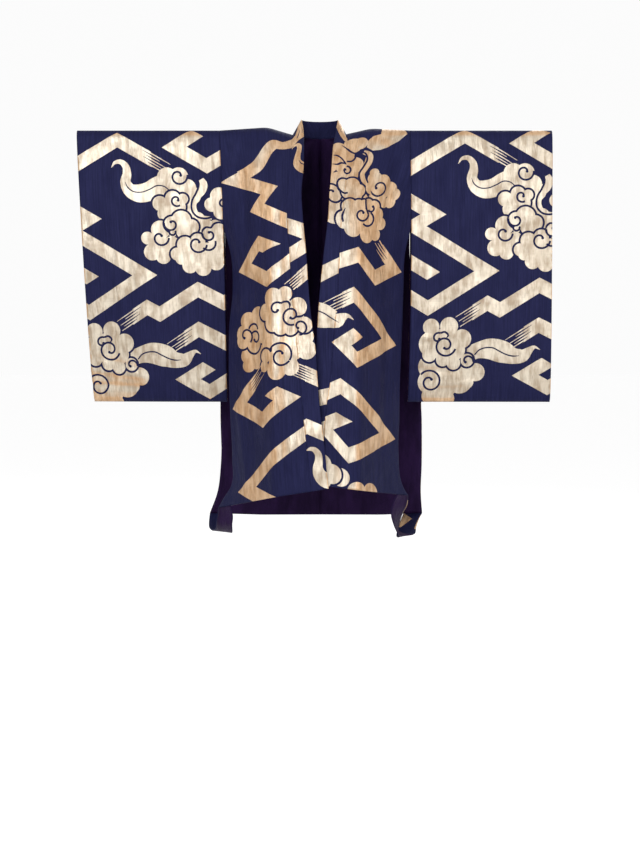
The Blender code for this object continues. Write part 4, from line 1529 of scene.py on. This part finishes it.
def add_floor(height):
    """A pale floor, wide enough to have no edge in view."""
    shape = bmesh.new()
    bmesh.ops.create_grid(shape, x_segments=2, y_segments=2, size=150)
    bmesh.ops.translate(shape, verts=shape.verts, vec=(0, 0, height))
    mesh = bpy.data.meshes.new("floor")
    shape.to_mesh(mesh)
    shape.free()
    floor = bpy.data.objects.new("floor", mesh)
    bpy.context.scene.collection.objects.link(floor)
    material = bpy.data.materials.new("pale_floor")
    material.use_nodes = True
    tree = material.node_tree
    shader = tree.nodes["Principled BSDF"]
    shader.inputs["Base Color"].default_value = (0.86, 0.86, 0.86, 1)
    shader.inputs["Roughness"].default_value = 0.9
    shader.inputs["Specular IOR Level"].default_value = 0.1
    shader.inputs["Emission Color"].default_value = (1, 1, 1, 1)
    seen = add_node(tree, "ShaderNodeLightPath").outputs["Is Camera Ray"]
    tree.links.new(math_node(tree, "MULTIPLY", seen, 0.50), shader.inputs["Emission Strength"])
    mesh.materials.append(material)


def light_room(scene, strength):
    """Light from all round, with a paler backdrop where the camera looks past the jacket."""
    world = bpy.data.worlds.new("pale_room")
    scene.world = world
    world.use_nodes = True
    tree = world.node_tree
    tree.nodes.clear()
    seen = add_node(tree, "ShaderNodeBackground", {"Color": (0.97, 0.97, 0.97, 1), "Strength": 1.0})
    lit = add_node(tree, "ShaderNodeBackground", {"Color": (1, 1, 1, 1), "Strength": strength})
    ray = add_node(tree, "ShaderNodeLightPath").outputs["Is Camera Ray"]
    both = add_node(tree, "ShaderNodeMixShader", {0: ray, 1: lit.outputs[0], 2: seen.outputs[0]})
    add_node(tree, "ShaderNodeOutputWorld", {0: both.outputs[0]})


def soft_light(name, place, target, size, power):
    """A square soft light turned towards the jacket."""
    lamp = bpy.data.lights.new(name, "AREA")
    lamp.size = size
    lamp.energy = power
    light = bpy.data.objects.new(name, lamp)
    light.location = place
    light.rotation_euler = (Vector(target) - Vector(place)).to_track_quat("-Z", "Y").to_euler()
    bpy.context.scene.collection.objects.link(light)


FOCAL_LENGTH = 63.3         # in millimetres
LENS_SHIFT = -0.0698        # as a share of the view's longer side


def add_camera(scene, distance, height):
    """A level camera straight in front, shifted down to the jacket."""
    lens = bpy.data.cameras.new("camera")
    lens.lens = FOCAL_LENGTH
    lens.shift_y = LENS_SHIFT
    camera = bpy.data.objects.new("camera", lens)
    camera.location = (0, -distance, height)
    camera.rotation_euler = (pi / 2, 0, 0)
    scene.collection.objects.link(camera)
    scene.camera = camera


class SCENE_OT_jacket_stage(bpy.types.Operator):
    """Makes the floor, the lights and the camera"""

    bl_idname = "scene.jacket_stage"
    bl_label = "Stage"

    def execute(self, context):
        scene = context.scene
        stage = scene.jacket_stage
        scene.view_settings.view_transform = "Standard"
        add_floor(stage.floor_height)
        light_room(scene, stage.room_light)
        middle = (0, 0, -0.5)
        soft_light("key", (-1.6, -4.2, 1.2), middle, 2.6, stage.key_power)
        soft_light("fill", (2.6, -3.4, 0.2), middle, 2.0, stage.fill_power)
        soft_light("rear", (1.5, 3.0, 2.2), middle, 2.5, stage.fill_power)
        add_camera(scene, stage.camera_distance, stage.camera_height)
        return {"FINISHED"}


class VIEW3D_PT_jacket(bpy.types.Panel):
    """Lists the jacket's pieces and settings"""

    bl_label = "Stage Jacket"
    bl_idname = "VIEW3D_PT_jacket"
    bl_space_type = "VIEW_3D"
    bl_region_type = "UI"
    bl_category = "Jacket"

    def draw(self, context):
        for settings in (context.scene.jacket_silk, context.scene.jacket_stage):
            for name in settings.__annotations__:
                self.layout.prop(settings, name)
        for operator in OPERATORS:
            self.layout.operator(operator.bl_idname)


OPERATORS = (MESH_OT_jacket_bodies, MESH_OT_jacket_sleeves, MESH_OT_jacket_collar,
             MESH_OT_jacket_strips, SCENE_OT_jacket_stage)
CLASSES = (SilkSettings, StageSettings, *OPERATORS, VIEW3D_PT_jacket)


def register():
    """Adds the classes and the settings."""
    for kind in CLASSES:
        bpy.utils.register_class(kind)
    bpy.types.Scene.jacket_silk = PointerProperty(type=SilkSettings)
    bpy.types.Scene.jacket_stage = PointerProperty(type=StageSettings)


def unregister():
    """Takes the settings and the classes away again."""
    del bpy.types.Scene.jacket_stage
    del bpy.types.Scene.jacket_silk
    for kind in reversed(CLASSES):
        bpy.utils.unregister_class(kind)


def main():
    """Builds the whole jacket."""
    register()
    bpy.ops.mesh.jacket_bodies()
    bpy.ops.mesh.jacket_sleeves()
    bpy.ops.mesh.jacket_collar()
    bpy.ops.mesh.jacket_strips()
    bpy.ops.scene.jacket_stage()


if __name__ == "__main__":
    main()
